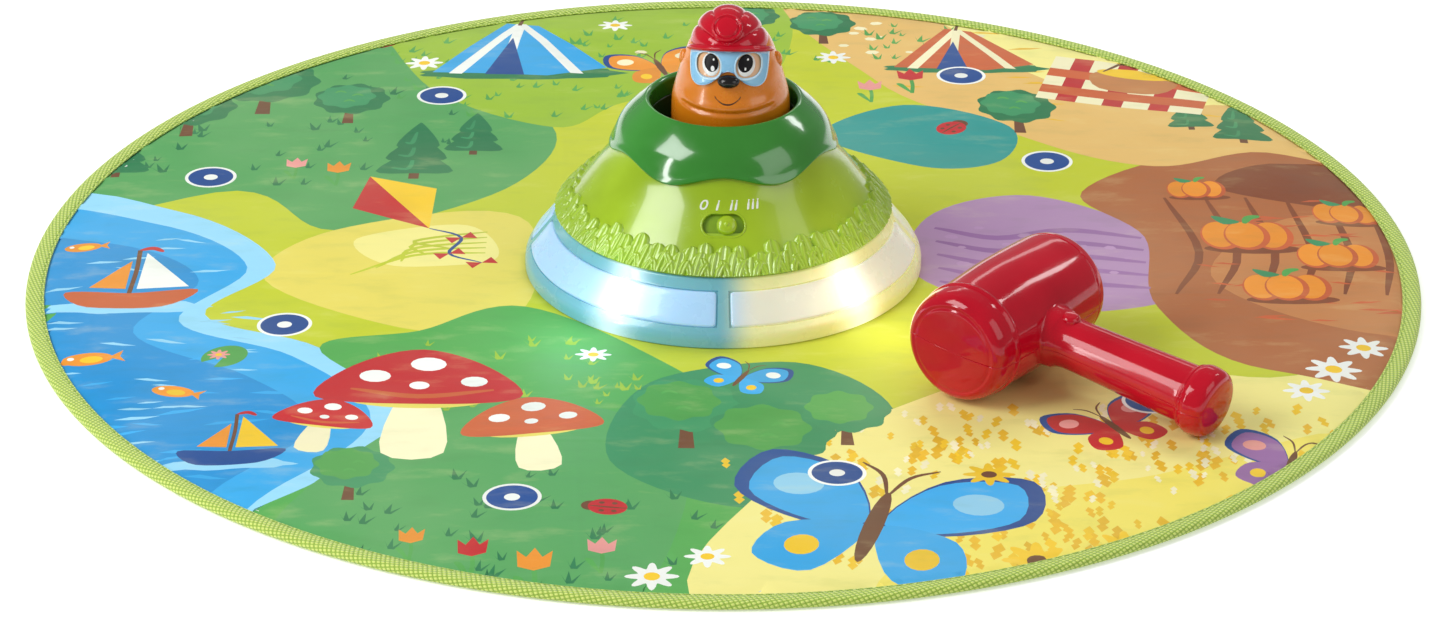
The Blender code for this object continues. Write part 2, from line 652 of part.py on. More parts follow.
def base_plate():
    """The floor of the console: lip, wall, bosses, battery compartment and loudspeaker slots."""
    loop = [
        (0, 0),
        (BASE_LIP_RADIUS, 0),
        (BASE_LIP_RADIUS, BASE_LIP_THICKNESS),
        (BASE_WALL_RADIUS, BASE_LIP_THICKNESS),
        (BASE_WALL_RADIUS, BASE_WALL_TOP),
        (BASE_WALL_RADIUS - BASE_WALL_THICKNESS, BASE_WALL_TOP),
        (BASE_WALL_RADIUS - BASE_WALL_THICKNESS, BASE_THICKNESS),
        (0, BASE_THICKNESS),
    ]
    plate = turned("base_plate", loop, CONSOLE_STEPS, "white_plastic", closed=False)

    half_length, half_width, height, _ = compartment_sizes()
    wall = COMPARTMENT_WALL
    curb = DOOR_LEDGE + wall
    curb_top = DOOR_THICKNESS + GAP + wall
    sunk = BASE_THICKNESS / 2
    box_x = half_length + wall
    box_y = half_width + wall
    pad_x = door_screw_x()

    added = bmesh.new()
    add_box(
        added,
        (-box_x, COMPARTMENT_Y - box_y, sunk),
        (box_x, COMPARTMENT_Y + box_y, height + wall),
    )
    box = add_object("compartment_box", added)
    combine(plate, box, "UNION")
    added = bmesh.new()
    add_box(
        added,
        (-half_length - curb, COMPARTMENT_Y - half_width - curb, sunk),
        (pad_x + DOOR_SCREW_PAD / 2, COMPARTMENT_Y + half_width + curb, curb_top),
    )
    combine(plate, add_object("compartment_curb", added), "UNION")

    added = bmesh.new()
    for azimuth in post_azimuths():
        spot = polar(POST_CIRCLE_RADIUS, azimuth)
        add_cylinder(added, BOSS_RADIUS, sunk, BOSS_TOP, spot.x, spot.y)
    for x, y in board_stands():
        add_cylinder(added, BOARD_STAND_RADIUS, sunk, BOARD_Z - GAP, x, y, TINY_STEPS)
    combine(plate, add_object("base_bosses", added), "UNION")

    cut = bmesh.new()
    add_box(
        cut,
        (-half_length, COMPARTMENT_Y - half_width, -OVERRUN),
        (half_length, COMPARTMENT_Y + half_width, height),
    )
    combine(plate, add_object("compartment_hollow", cut))
    cut = bmesh.new()
    add_box(
        cut,
        (-half_length - DOOR_LEDGE, COMPARTMENT_Y - half_width - DOOR_LEDGE, -OVERRUN),
        (pad_x + DOOR_LEDGE, COMPARTMENT_Y + half_width + DOOR_LEDGE, DOOR_THICKNESS + GAP),
    )
    combine(plate, add_object("door_recess", cut))

    cut = bmesh.new()
    for azimuth in post_azimuths():
        spot = polar(POST_CIRCLE_RADIUS, azimuth)
        bore = SCREW_SHANK_RADIUS + GAP
        head = SCREW_HEAD_RADIUS + GAP
        step = SCREW_HEAD_DEPTH + SCREW_HEAD_HEIGHT + GAP
        points = [(0, -OVERRUN), (head, -OVERRUN), (head, step), (bore, step)]
        points += [(bore, BOSS_TOP + OVERRUN), (0, BOSS_TOP + OVERRUN)]
        spin_points(cut, points, TINY_STEPS, False, Matrix.Translation(spot))
    for x, y in board_stands():
        add_cylinder(cut, BOARD_SCREW_RADIUS + GAP, BASE_THICKNESS, BOARD_Z + OVERRUN, x, y, TINY_STEPS)
    add_cylinder(
        cut, SCREW_SHANK_RADIUS + GAP, 0, curb_top + OVERRUN, pad_x, COMPARTMENT_Y, TINY_STEPS
    )
    middle = (GRILLE_SLOT_COUNT - 1) / 2
    for index in range(GRILLE_SLOT_COUNT):
        x = GRILLE_SLOT_PITCH * (index - middle)
        reach = math.sqrt(GRILLE_RADIUS**2 - x**2)
        half = GRILLE_SLOT_WIDTH / 2
        add_box(
            cut,
            (x - half, SPEAKER_Y - reach, -OVERRUN),
            (x + half, SPEAKER_Y + reach, BASE_THICKNESS + OVERRUN),
        )
    combine(plate, add_object("base_cuts", cut))
    return plate


def battery_door():
    """The door lies in its recess and is held by one screw in a pad at its end."""
    half_length, half_width, _, _ = compartment_sizes()
    low_x = -half_length - DOOR_LEDGE + GAP
    high_x = door_screw_x() + DOOR_LEDGE - GAP
    half_y = half_width + DOOR_LEDGE - GAP
    bm = bmesh.new()
    add_box(bm, (low_x, COMPARTMENT_Y - half_y, 0), (high_x, COMPARTMENT_Y + half_y, DOOR_THICKNESS))
    door = add_object("battery_door", bm, "white_plastic")
    cut = bmesh.new()
    add_cylinder(
        cut,
        SCREW_SHANK_RADIUS + GAP,
        -OVERRUN,
        DOOR_THICKNESS + OVERRUN,
        door_screw_x(),
        COMPARTMENT_Y,
        TINY_STEPS,
    )
    # A finger recess near the far end of the door helps to lift it.
    grip = DOOR_SCREW_PAD / 2
    add_box(
        cut,
        (low_x + DOOR_LEDGE, COMPARTMENT_Y - grip, -OVERRUN),
        (low_x + DOOR_LEDGE + DOOR_LEDGE, COMPARTMENT_Y + grip, DOOR_THICKNESS / 2),
    )
    combine(door, add_object("door_cuts", cut))
    return door


def add_screw(bm, matrix, head_radius, head_height, shank_radius, length, steps=TINY_STEPS):
    """A pan-head screw that points along its own +Z, with the head's seat at zero."""
    points = [
        (0, -head_height),
        (head_radius / 2, -head_height),
        (head_radius, -head_height / 2),
        (head_radius, 0),
        (shank_radius, 0),
        (shank_radius, length - shank_radius),
        (0, length),
    ]
    spin_points(bm, points, steps, False, matrix)


def base_screws():
    seat = SCREW_HEAD_DEPTH + SCREW_HEAD_HEIGHT
    for index, azimuth in enumerate(post_azimuths()):
        bm = bmesh.new()
        place = Matrix.Translation(polar(POST_CIRCLE_RADIUS, azimuth, seat))
        length = BOSS_TOP + SCREW_BITE - seat
        add_screw(bm, place, SCREW_HEAD_RADIUS, SCREW_HEAD_HEIGHT, SCREW_SHANK_RADIUS, length)
        add_object(f"base_screw_{index + 1}", bm, "steel")


def battery_door_screw():
    """A short screw whose thin head lies against the door from below, inside the door's thickness."""
    bm = bmesh.new()
    place = Matrix.Translation((door_screw_x(), COMPARTMENT_Y, GAP))
    curb_top = DOOR_THICKNESS + GAP + COMPARTMENT_WALL
    points = [
        (0, 0),
        (SCREW_SHANK_RADIUS, 0),
        (SCREW_SHANK_RADIUS, curb_top - GAP - SCREW_SHANK_RADIUS / 2),
        (0, curb_top - GAP),
    ]
    spin_points(bm, points, TINY_STEPS, False, place)
    return add_object("battery_door_screw", bm, "steel")


def along_x(x, y, z, sign=1):
    """A frame whose +Z runs along X."""
    return Matrix.Translation((x, y, z)) @ Matrix.Rotation(sign * math.pi / 2, 4, "Y")


def cell_rows():
    """The Y of each cell, and the direction in which it lies."""
    pitch = 2 * (CELL_RADIUS + GAP)
    middle = (CELL_COUNT - 1) / 2
    return [(COMPARTMENT_Y + pitch * (index - middle), 1 - 2 * (index % 2)) for index in range(CELL_COUNT)]


def battery_cells():
    """The cells lie side by side, every other one turned round."""
    half_length, _, _, cell_start = compartment_sizes()
    points = [
        (0, 0),
        (CELL_RADIUS, 0),
        (CELL_RADIUS, CELL_LENGTH),
        (CELL_TIP_RADIUS, CELL_LENGTH),
        (CELL_TIP_RADIUS, CELL_LENGTH + CELL_TIP_LENGTH),
        (0, CELL_LENGTH + CELL_TIP_LENGTH),
    ]
    z = DOOR_THICKNESS + 2 * GAP + CELL_RADIUS
    for index, (y, sign) in enumerate(cell_rows()):
        bm = bmesh.new()
        spin_points(bm, points, SMALL_STEPS, False, along_x(sign * cell_start, y, z, sign))
        add_object(f"battery_cell_{index + 1}", bm, "cell_wrap")


def battery_contacts():
    """Plates at the cells' ends: two join neighbouring cells, and two are the ends of the row."""
    half_length = compartment_sizes()[0]
    z = DOOR_THICKNESS + 2 * GAP + CELL_RADIUS
    rows = cell_rows()
    groups = (
        ("battery_contact_plus", 1, (0,)),
        ("battery_contact_bridge_1", 1, (1, 2)),
        ("battery_contact_bridge_2", -1, (0, 1)),
        ("battery_contact_minus", -1, (2,)),
    )
    for name, side, members in groups:
        low_y = rows[members[0]][0] - CONTACT_RADIUS
        high_y = rows[members[-1]][0] + CONTACT_RADIUS
        face = side * (half_length - GAP)
        inward = face - side * CONTACT_THICKNESS
        bm = bmesh.new()
        add_box(
            bm,
            (min(face, inward), low_y, z - CONTACT_RADIUS),
            (max(face, inward), high_y, z + CONTACT_RADIUS),
        )
        plate = add_object(name, bm, "steel")
        nubs = bmesh.new()
        for member in members:
            y, sign = rows[member]
            length = CONTACT_NUB_LENGTH if sign == side else CONTACT_SPRING_LENGTH
            place = along_x(face, y, z, -side)
            low = CONTACT_THICKNESS / 2
            add_cylinder(
                nubs, CONTACT_NUB_RADIUS, low, CONTACT_THICKNESS + length, 0, 0, TINY_STEPS, place
            )
        combine(plate, add_object(name + "_nubs", nubs), "UNION")


def loudspeaker():
    """Basket, paper cone and magnet, on the inside of the base plate's slots."""
    place = Matrix.Translation((0, SPEAKER_Y, BASE_THICKNESS + GAP))
    rim = SPEAKER_RADIUS
    basket = [
        (rim - SPEAKER_RIM_WIDTH, 0),
        (rim, 0),
        (rim, SPEAKER_RIM_HEIGHT),
        (SPEAKER_THROAT_RADIUS, SPEAKER_THROAT_HEIGHT),
        (0, SPEAKER_THROAT_HEIGHT),
        (0, SPEAKER_THROAT_HEIGHT - SPEAKER_SHEET),
        (SPEAKER_THROAT_RADIUS - SPEAKER_SHEET, SPEAKER_THROAT_HEIGHT - SPEAKER_SHEET),
        (rim - SPEAKER_RIM_WIDTH, SPEAKER_RIM_HEIGHT - SPEAKER_SHEET),
    ]
    # The outline starts on the axis, so that its two ends close there.
    basket = basket[5:] + basket[:5]
    turned("speaker_basket", basket, SMALL_STEPS, "steel", False, place)
    cone_rim = rim - SPEAKER_RIM_WIDTH - GAP
    outer = [
        (cone_rim, SPEAKER_SHEET / 2),
        (CONE_NECK_RADIUS, CONE_HEIGHT),
        (0, CONE_HEIGHT - CONE_NECK_RADIUS / 3),
    ]
    under = [(radius, height - CONE_SHEET) for radius, height in outer]
    cone = outer[::-1] + under
    turned("speaker_cone", cone, SMALL_STEPS, "paper_cone", False, place)
    low = SPEAKER_THROAT_HEIGHT + GAP
    points = [(0, low), (MAGNET_RADIUS, low), (MAGNET_RADIUS, low + MAGNET_HEIGHT), (0, low + MAGNET_HEIGHT)]
    turned("speaker_magnet", points, SMALL_STEPS, "steel", False, place)


# Boards and sensor


def board_stands():
    """Where two opposite stands carry the main board."""
    x = BOARD_HALF_WIDTH - BOARD_STAND_INSET
    return [(-x, BOARD_Y), (x, BOARD_Y)]


def main_board():
    bm = bmesh.new()
    add_box(
        bm,
        (-BOARD_HALF_WIDTH, BOARD_Y - BOARD_HALF_DEPTH, BOARD_Z),
        (BOARD_HALF_WIDTH, BOARD_Y + BOARD_HALF_DEPTH, BOARD_Z + BOARD_THICKNESS),
    )
    board = add_object("main_board", bm, "circuit_board")
    cut = bmesh.new()
    for x, y in board_stands():
        add_cylinder(
            cut,
            BOARD_SCREW_RADIUS + GAP,
            BOARD_Z - OVERRUN,
            BOARD_Z + BOARD_THICKNESS + OVERRUN,
            x,
            y,
            TINY_STEPS,
        )
    combine(board, add_object("board_holes", cut))
    seat = BOARD_Z + BOARD_THICKNESS + GAP
    length = BOARD_THICKNESS + BOARD_STAND_HEIGHT
    for index, (x, y) in enumerate(board_stands()):
        bm = bmesh.new()
        place = Matrix.Translation((x, y, seat)) @ Matrix.Rotation(math.pi, 4, "X")
        add_screw(bm, place, BOARD_SCREW_HEAD_RADIUS, BOARD_SCREW_HEAD_HEIGHT, BOARD_SCREW_RADIUS, length)
        add_object(f"board_screw_{index + 1}", bm, "steel")


def strike_sensor():
    """A slotted sensor on the board, under the plunger's flag."""
    low = BOARD_Z + BOARD_THICKNESS + GAP
    bm = bmesh.new()
    add_box(
        bm,
        (MOLE_X - SENSOR_HALF_WIDTH, -SENSOR_HALF_DEPTH, low),
        (MOLE_X + SENSOR_HALF_WIDTH, SENSOR_HALF_DEPTH, SENSOR_TOP),
    )
    sensor = add_object("strike_sensor", bm, "black_plastic")
    cut = bmesh.new()
    wide = SENSOR_HALF_WIDTH + OVERRUN
    add_box(
        cut,
        (MOLE_X - wide, -SENSOR_SLOT_HALF, SENSOR_SLOT_FLOOR),
        (MOLE_X + wide, SENSOR_SLOT_HALF, SENSOR_TOP + OVERRUN),
    )
    combine(sensor, add_object("sensor_slot", cut))


# Light ring


def ring_outer_outline():
    """The outside of the light ring, from the mat up to the dome's foot."""
    return [
        (RING_RADIUS, RING_SIDE_Z),
        (RING_RADIUS, RING_SIDE_TOP),
        (WINDOW_LOW_RADIUS, WINDOW_LOW_Z),
        (WINDOW_HIGH_RADIUS, WINDOW_HIGH_Z),
        (RING_TOP_RADIUS, RING_TOP_Z),
        (RING_TOP_INNER, RING_TOP_Z),
    ]


def window_section(low_share, high_share, depth, proud):
    """The section of a window between two shares of the sloping band."""
    low = Vector((WINDOW_LOW_RADIUS, WINDOW_LOW_Z))
    high = Vector((WINDOW_HIGH_RADIUS, WINDOW_HIGH_Z))
    run = high - low
    out = Vector((run.y, -run.x)).normalized()
    first = low + run * low_share
    last = low + run * high_share
    return [first - out * depth, first + out * proud, last + out * proud, last - out * depth]


def window_azimuths(spare):
    """Each window's azimuths: its two ends, and the facets of the ring between them."""
    mean = (WINDOW_LOW_RADIUS + WINDOW_HIGH_RADIUS) / 2
    quarter = FULL_TURN / WINDOW_COUNT
    facet = FULL_TURN / CONSOLE_STEPS
    margin = (WINDOW_GAP / 2 + spare) / mean
    middle = [facet * step for step in range(1, CONSOLE_STEPS // WINDOW_COUNT)]
    rows = []
    for index in range(WINDOW_COUNT):
        start = quarter * index
        rows.append([start + margin, *(start + turn for turn in middle), start + quarter - margin])
    return rows


def light_ring():
    """The translucent ring: a sloping wall, a foot that clamps the mat, and four recesses."""
    outer = ring_outer_outline()
    inner = offset_outline(outer[:-1], RING_WALL)
    foot_top = CLAMP_Z + RING_FOOT_THICKNESS
    inner_side = inner[1:]
    inner_side[-1] = (RING_TOP_INNER, RING_TOP_Z - RING_WALL)
    loop = outer + inner_side[::-1]
    loop += [
        (RING_RADIUS - RING_WALL, foot_top),
        (RING_FOOT_INNER, foot_top),
        (RING_FOOT_INNER, CLAMP_Z),
        (INNER_STEP_HIGH, CLAMP_Z),
        (INNER_STEP_LOW, RING_SIDE_Z),
    ]
    ring = turned("light_ring", loop, CONSOLE_STEPS, "milky_plastic")
    cut = bmesh.new()
    for azimuths in window_azimuths(0):
        add_sector(cut, window_section(0, 1, WINDOW_DEPTH, OVERRUN), azimuths)
    combine(ring, add_object("window_recesses", cut))

    slope_length = math.hypot(WINDOW_LOW_RADIUS - WINDOW_HIGH_RADIUS, WINDOW_HIGH_Z - WINDOW_LOW_Z)
    side_share = GAP / slope_length
    for index, azimuths in enumerate(window_azimuths(GAP)):
        bm = bmesh.new()
        section = window_section(side_share, 1 - side_share, WINDOW_DEPTH - GAP, WINDOW_PROUD)
        add_sector(bm, section, azimuths)
        add_object(f"light_window_{index + 1}", bm, "window_plastic")


def light_board():
    """A ring board on the foot of the light ring, with one lamp behind the middle of each window."""
    low = CLAMP_Z + RING_FOOT_THICKNESS + GAP
    high = low + BOARD_THICKNESS
    loop = [(LED_BOARD_INNER, low), (LED_BOARD_OUTER, low), (LED_BOARD_OUTER, high), (LED_BOARD_INNER, high)]
    turned("light_board", loop, CONSOLE_STEPS, "circuit_board")
    seat = high + GAP
    straight = LED_HEIGHT - LED_RADIUS
    points = [
        (0, 0),
        (LED_RADIUS, 0),
        (LED_RADIUS, straight),
        (LED_RADIUS * math.cos(math.pi / 4), straight + LED_RADIUS * math.sin(math.pi / 4)),
        (0, LED_HEIGHT),
    ]
    for index in range(WINDOW_COUNT):
        azimuth = FULL_TURN * (index + 0.5) / WINDOW_COUNT
        bm = bmesh.new()
        place = Matrix.Translation(polar(LED_CIRCLE_RADIUS, azimuth, seat))
        spin_points(bm, points, TINY_STEPS, False, place)
        add_object(f"window_lamp_{index + 1}", bm, "window_plastic")


# Dome, grass and collar


def dome_radius(z):
    """The radius of the dome's cone at a height."""
    return DOME_KNEE_RADIUS + (DOME_KNEE_Z - z) * DOME_SLOPE_SHARE


def level_frame():
    """A frame on the front of the cone: X to the right, Y up the slope, Z out of the surface."""
    sine = math.sin(SLOPE_ANGLE)
    cosine = math.cos(SLOPE_ANGLE)
    rotation = Matrix(((1, 0, 0), (0, sine, -cosine), (0, cosine, sine))).to_4x4()
    return Matrix.Translation((0, -dome_radius(LEVEL_Z), LEVEL_Z)) @ rotation


def level_post_spots():
    return [(0, -LEVEL_POST_OFFSET), (0, LEVEL_POST_OFFSET)]


def obround(half_length, half_height, steps):
    """An outline with straight sides and half-round ends."""
    straight = half_length - half_height
    points = []
    for side, start in ((1, -math.pi / 2), (-1, math.pi / 2)):
        for angle in np.linspace(start, start + math.pi, steps):
            x = side * straight + half_height * math.cos(angle)
            points.append((x, half_height * math.sin(angle)))
    return points


def dome_shell():
    """The lime cone with its ledge, four screw posts, and the slot and posts of the level switch."""
    outer = [
        (dome_radius(DOME_FOOT_Z), DOME_FOOT_Z),
        (DOME_KNEE_RADIUS, DOME_KNEE_Z),
        (DOME_CROWN_RADIUS, DOME_CROWN_Z),
        (DOME_LEDGE_RADIUS, DOME_LEDGE_Z),
        (DOME_LEDGE_INNER, DOME_LEDGE_Z),
    ]
    inner = offset_outline(outer, DOME_WALL)
    inner[0] = (dome_radius(DOME_FOOT_Z) - DOME_WALL / math.cos(SLOPE_ANGLE), DOME_FOOT_Z)
    dome = turned("dome_shell", outer + inner[::-1], CONSOLE_STEPS, "lime_plastic")

    # The posts run up to the middle of the wall, where a cone trims them.
    half_wall = DOME_WALL / 2 / math.cos(SLOPE_ANGLE)
    low = DOME_FOOT_Z - POST_RADIUS
    far = BASE_LIP_RADIUS
    trim_loop = [
        (dome_radius(low) - half_wall, low),
        (far, low),
        (far, DOME_KNEE_Z),
        (dome_radius(DOME_KNEE_Z) - half_wall, DOME_KNEE_Z),
    ]
    trim = turned("post_trim", trim_loop, CONSOLE_STEPS)
    posts = bmesh.new()
    post_low = BOSS_TOP + GAP
    post_high = DOME_KNEE_Z - (POST_CIRCLE_RADIUS - POST_RADIUS - DOME_KNEE_RADIUS) / DOME_SLOPE_SHARE
    for azimuth in post_azimuths():
        spot = polar(POST_CIRCLE_RADIUS, azimuth)
        add_cylinder(posts, POST_RADIUS, post_low, post_high, spot.x, spot.y, SMALL_STEPS)
    posts = add_object("dome_posts", posts)
    combine(posts, trim)
    combine(dome, posts, "UNION")

    frame = level_frame()
    posts = bmesh.new()
    post_end = -SWITCH_START - SWITCH_DEPTH
    for x, y in level_post_spots():
        add_cylinder(posts, LEVEL_POST_RADIUS, post_end, -DOME_WALL / 2, x, y, TINY_STEPS, frame)
    combine(dome, add_object("level_posts", posts), "UNION")

    cut = bmesh.new()
    add_prism(cut, obround(SLOT_HALF_LENGTH, SLOT_HALF_HEIGHT, SLOT_END_POINTS), -2 * DOME_WALL, DOME_WALL, frame)
    pilot = SCREW_SHANK_RADIUS + GAP
    for azimuth in post_azimuths():
        spot = polar(POST_CIRCLE_RADIUS, azimuth)
        deep = BOSS_TOP + SCREW_BITE + PILOT_SPARE_DEPTH
        add_cylinder(cut, pilot, 0, deep, spot.x, spot.y, TINY_STEPS)
    pilot = BOARD_SCREW_RADIUS + GAP
    for x, y in level_post_spots():
        add_cylinder(
            cut, pilot, post_end - OVERRUN, post_end + SWITCH_DEPTH - OVERRUN, x, y, TINY_STEPS, frame
        )
    combine(dome, add_object("dome_cuts", cut))


def grass_height(azimuth):
    """How high the grass stands at each azimuth: blades on clumps, from a few sine waves."""
    blade = np.abs(np.cos(azimuth * GRASS_BLADES / 2))
    clump = sum(
        share * np.sin(turns * azimuth + phase) for turns, phase, share in GRASS_CLUMP_TURNS_SHARES
    )
    tall = sum(share * np.sin(turns * azimuth + phase) for turns, phase, share in GRASS_BLADE_TURNS_SHARES)
    valley = GRASS_VALLEY_HEIGHT + GRASS_CLUMP_HEIGHT * (1 + clump) / 2
    return valley + (GRASS_BLADE_HEIGHT + GRASS_TALL_HEIGHT * (1 + tall) / 2) * blade


def grass_skirt():
    """A ring moulding that lies on the cone, with upright rounded blades of uneven height."""
    count = GRASS_BLADES * GRASS_STEPS_PER_BLADE
    azimuth = np.arange(count) * FULL_TURN / count
    blade = np.abs(np.cos(azimuth * GRASS_BLADES / 2))
    height = grass_height(azimuth)
    out = np.array((math.cos(SLOPE_ANGLE), math.sin(SLOPE_ANGLE)))
    up = np.array((-math.sin(SLOPE_ANGLE), math.cos(SLOPE_ANGLE)))
    foot = np.array((dome_radius(DOME_FOOT_Z), DOME_FOOT_Z))
    proud = GRASS_SHEET + GRASS_FOOT_PROUD + GRASS_BLADE_PROUD * blade
    rows = []
    # Up the outside, over the tip, and down the inside against the cone.
    for share in GRASS_ROW_SHARES:
        rows.append((height * share, GAP + proud * (1 - share**4 / 2)))
    rows.append((height, GAP + GRASS_SHEET / 2 + 0 * proud))
    rows.append((height * GRASS_ROW_SHARES[-1], GAP + 0 * proud))
    rows.append((0 * height, GAP + 0 * proud))
    bm = bmesh.new()
    grid = []
    for run, stand in rows:
        place = foot + run[:, None] * up + stand[:, None] * out
        place[:, 1] = np.maximum(place[:, 1], DOME_FOOT_Z)
        line = [
            bm.verts.new((radius * math.cos(turn), radius * math.sin(turn), z))
            for (radius, z), turn in zip(place, azimuth)
        ]
        grid.append(line)
    for row in range(len(grid)):
        first = grid[row]
        second = grid[(row + 1) % len(grid)]
        for column in range(count):
            after = (column + 1) % count
            bm.faces.new((first[column], first[after], second[after], second[column]))
    add_object("grass_skirt", bm, "grass_plastic")


def collar_outline():
    """The outside of the collar from below its lower edge up to its shoulder, as radius and height."""
    return np.array(
        [
            (COLLAR_LOW_RADIUS, COLLAR_LOW_Z),
            (COLLAR_SIDE_RADIUS, COLLAR_SIDE_Z),
            (COLLAR_MID_RADIUS, COLLAR_MID_Z),
            (COLLAR_SHOULDER_RADIUS, COLLAR_SHOULDER_Z),
        ]
    )


def hill_collar():
    """The green cap whose lower edge rises and falls six times round the dome."""
    outline = collar_outline()
    rim = [
        (COLLAR_RIM_RADIUS, COLLAR_RIM_Z),
        (COLLAR_CREST_RADIUS, COLLAR_CREST_Z),
        (COLLAR_OPENING_RADIUS, COLLAR_OPENING_Z),
        (COLLAR_OPENING_RADIUS, WELL_TOP_Z + GAP),
    ]
    inner = [
        (COLLAR_OPENING_RADIUS + COLLAR_WALL, WELL_TOP_Z + GAP),
        (COLLAR_OPENING_RADIUS + COLLAR_WALL, COLLAR_OPENING_Z - COLLAR_WALL),
    ]
    under = offset_outline([tuple(point) for point in outline], COLLAR_WALL)[1:]
    bm = bmesh.new()
    columns = []
    for index in range(CONSOLE_STEPS):
        azimuth = FULL_TURN * index / CONSOLE_STEPS
        wave = math.cos(COLLAR_WAVES * (azimuth + math.pi / 2))
        edge_z = COLLAR_EDGE_Z + COLLAR_WAVE * wave
        edge_r = float(np.interp(edge_z, outline[:, 1], outline[:, 0]))
        lip_z = edge_z + COLLAR_EDGE_ROUND
        lip_r = float(np.interp(lip_z, outline[:, 1], outline[:, 0]))
        loop = [(edge_r - COLLAR_EDGE_ROUND, edge_z), (lip_r, lip_z)]
        loop += [tuple(point) for point in outline[1:]]
        loop += rim + inner + under[::-1]
        loop.append((edge_r - COLLAR_WALL, edge_z))
        columns.append([bm.verts.new(polar(radius, azimuth, z)) for radius, z in loop])
    for index, first in enumerate(columns):
        second = columns[(index + 1) % len(columns)]
        for row in range(len(first)):
            after = (row + 1) % len(first)
            bm.faces.new((first[row], second[row], second[after], first[after]))
    add_object("hill_collar", bm, "green_plastic")


def well_inner_radius(z):
    """The well narrows evenly from its flange down to its floor."""
    share = (z - WELL_FLOOR_Z) / (WELL_TOP_Z - WELL_FLOOR_Z)
    floor = WELL_FLOOR_RADIUS - WELL_WALL
    return floor + (COLLAR_OPENING_RADIUS - floor) * share


def mole_well():
    """A cup under the collar's opening, with the guide tube of the plunger in its floor."""
    floor_top = WELL_FLOOR_Z + WELL_FLOOR_THICKNESS
    wall = WELL_WALL
    loop = [
        (0, WELL_FLOOR_Z),
        (well_inner_radius(WELL_FLOOR_Z) + wall, WELL_FLOOR_Z),
        (well_inner_radius(WELL_FLANGE_Z) + wall, WELL_FLANGE_Z),
        (WELL_FLANGE_RADIUS, WELL_FLANGE_Z),
        (WELL_FLANGE_RADIUS, WELL_TOP_Z),
        (well_inner_radius(WELL_TOP_Z), WELL_TOP_Z),
        (well_inner_radius(floor_top), floor_top),
        (0, floor_top),
    ]
    well = turned("mole_well", loop, WELL_STEPS, "dark_green_plastic", False)
    guide = bmesh.new()
    add_cylinder(guide, GUIDE_RADIUS, GUIDE_BOTTOM_Z, GUIDE_TOP_Z, MOLE_X, 0, SMALL_STEPS)
    combine(well, add_object("plunger_guide", guide), "UNION")
    bore = bmesh.new()
    add_cylinder(
        bore,
        STEM_RADIUS + GAP,
        GUIDE_BOTTOM_Z - OVERRUN,
        GUIDE_TOP_Z + OVERRUN,
        MOLE_X,
        0,
        SMALL_STEPS,
    )
    combine(well, add_object("guide_bore", bore))


# Mole


def mole_outline():
    """The outside of the mole from its foot up to the top of its head."""
    return [
        (MOLE_FOOT_RADIUS, MOLE_FOOT_Z),
        (MOLE_CHEST_RADIUS, MOLE_CHEST_Z),
        (MOLE_CREASE_RADIUS, MOLE_CREASE_Z),
        (MOLE_CHEEK_RADIUS, MOLE_CHEEK_Z),
        (MOLE_FACE_RADIUS, MOLE_FACE_Z),
        (MOLE_BROW_RADIUS, MOLE_BROW_Z),
        (MOLE_SKULL_RADIUS, MOLE_SKULL_Z),
        (MOLE_CROWN_RADIUS, MOLE_CROWN_Z),
        (0, MOLE_TOP_Z),
    ]


def head_radius(z):
    """The radius of the mole's head at a height."""
    outline = np.array(mole_outline())
    return float(np.interp(z, outline[:, 1], outline[:, 0]))


def grown_head(name, distance, parent):
    """A solid copy of the mole's outside, grown by a distance, to cut what lies on the head."""
    outline = offset_outline(mole_outline()[2:], -distance)
    low = outline[0][1]
    points = [(0, low), *outline]
    return turned(name, points, MOLE_STEPS, closed=False, parent=parent)


def mole_body(parent):
    """The hollow moulding of the mole: its wall, and a boss inside it for the plunger's screw."""
    outer = mole_outline()
    inner = offset_outline(outer[:-1], MOLE_WALL)
    boss_root = (MOLE_BOSS_RADIUS, MOLE_CROWN_Z - MOLE_WALL)
    pilot = SCREW_SHANK_RADIUS + GAP
    pilot_top = MOLE_BOSS_Z + SCREW_BITE
    loop = outer[::-1] + [inner[0]] + inner[1:]
    loop[len(outer)] = (MOLE_FOOT_RADIUS - MOLE_WALL, MOLE_FOOT_Z)
    loop += [boss_root, (MOLE_BOSS_RADIUS, MOLE_BOSS_Z), (pilot, MOLE_BOSS_Z), (pilot, pilot_top), (0, pilot_top)]
    body = turned("mole_body", loop, MOLE_STEPS, "orange_plastic", False, parent=parent)
    ears = bmesh.new()
    for side in (-1, 1):
        add_ellipsoid(ears, (side * EAR_X, 0, EAR_Z), EAR_HALF_SIZES, TINY_STEPS, 6)
    combine(body, add_object("mole_ears", ears, parent=parent), "UNION")


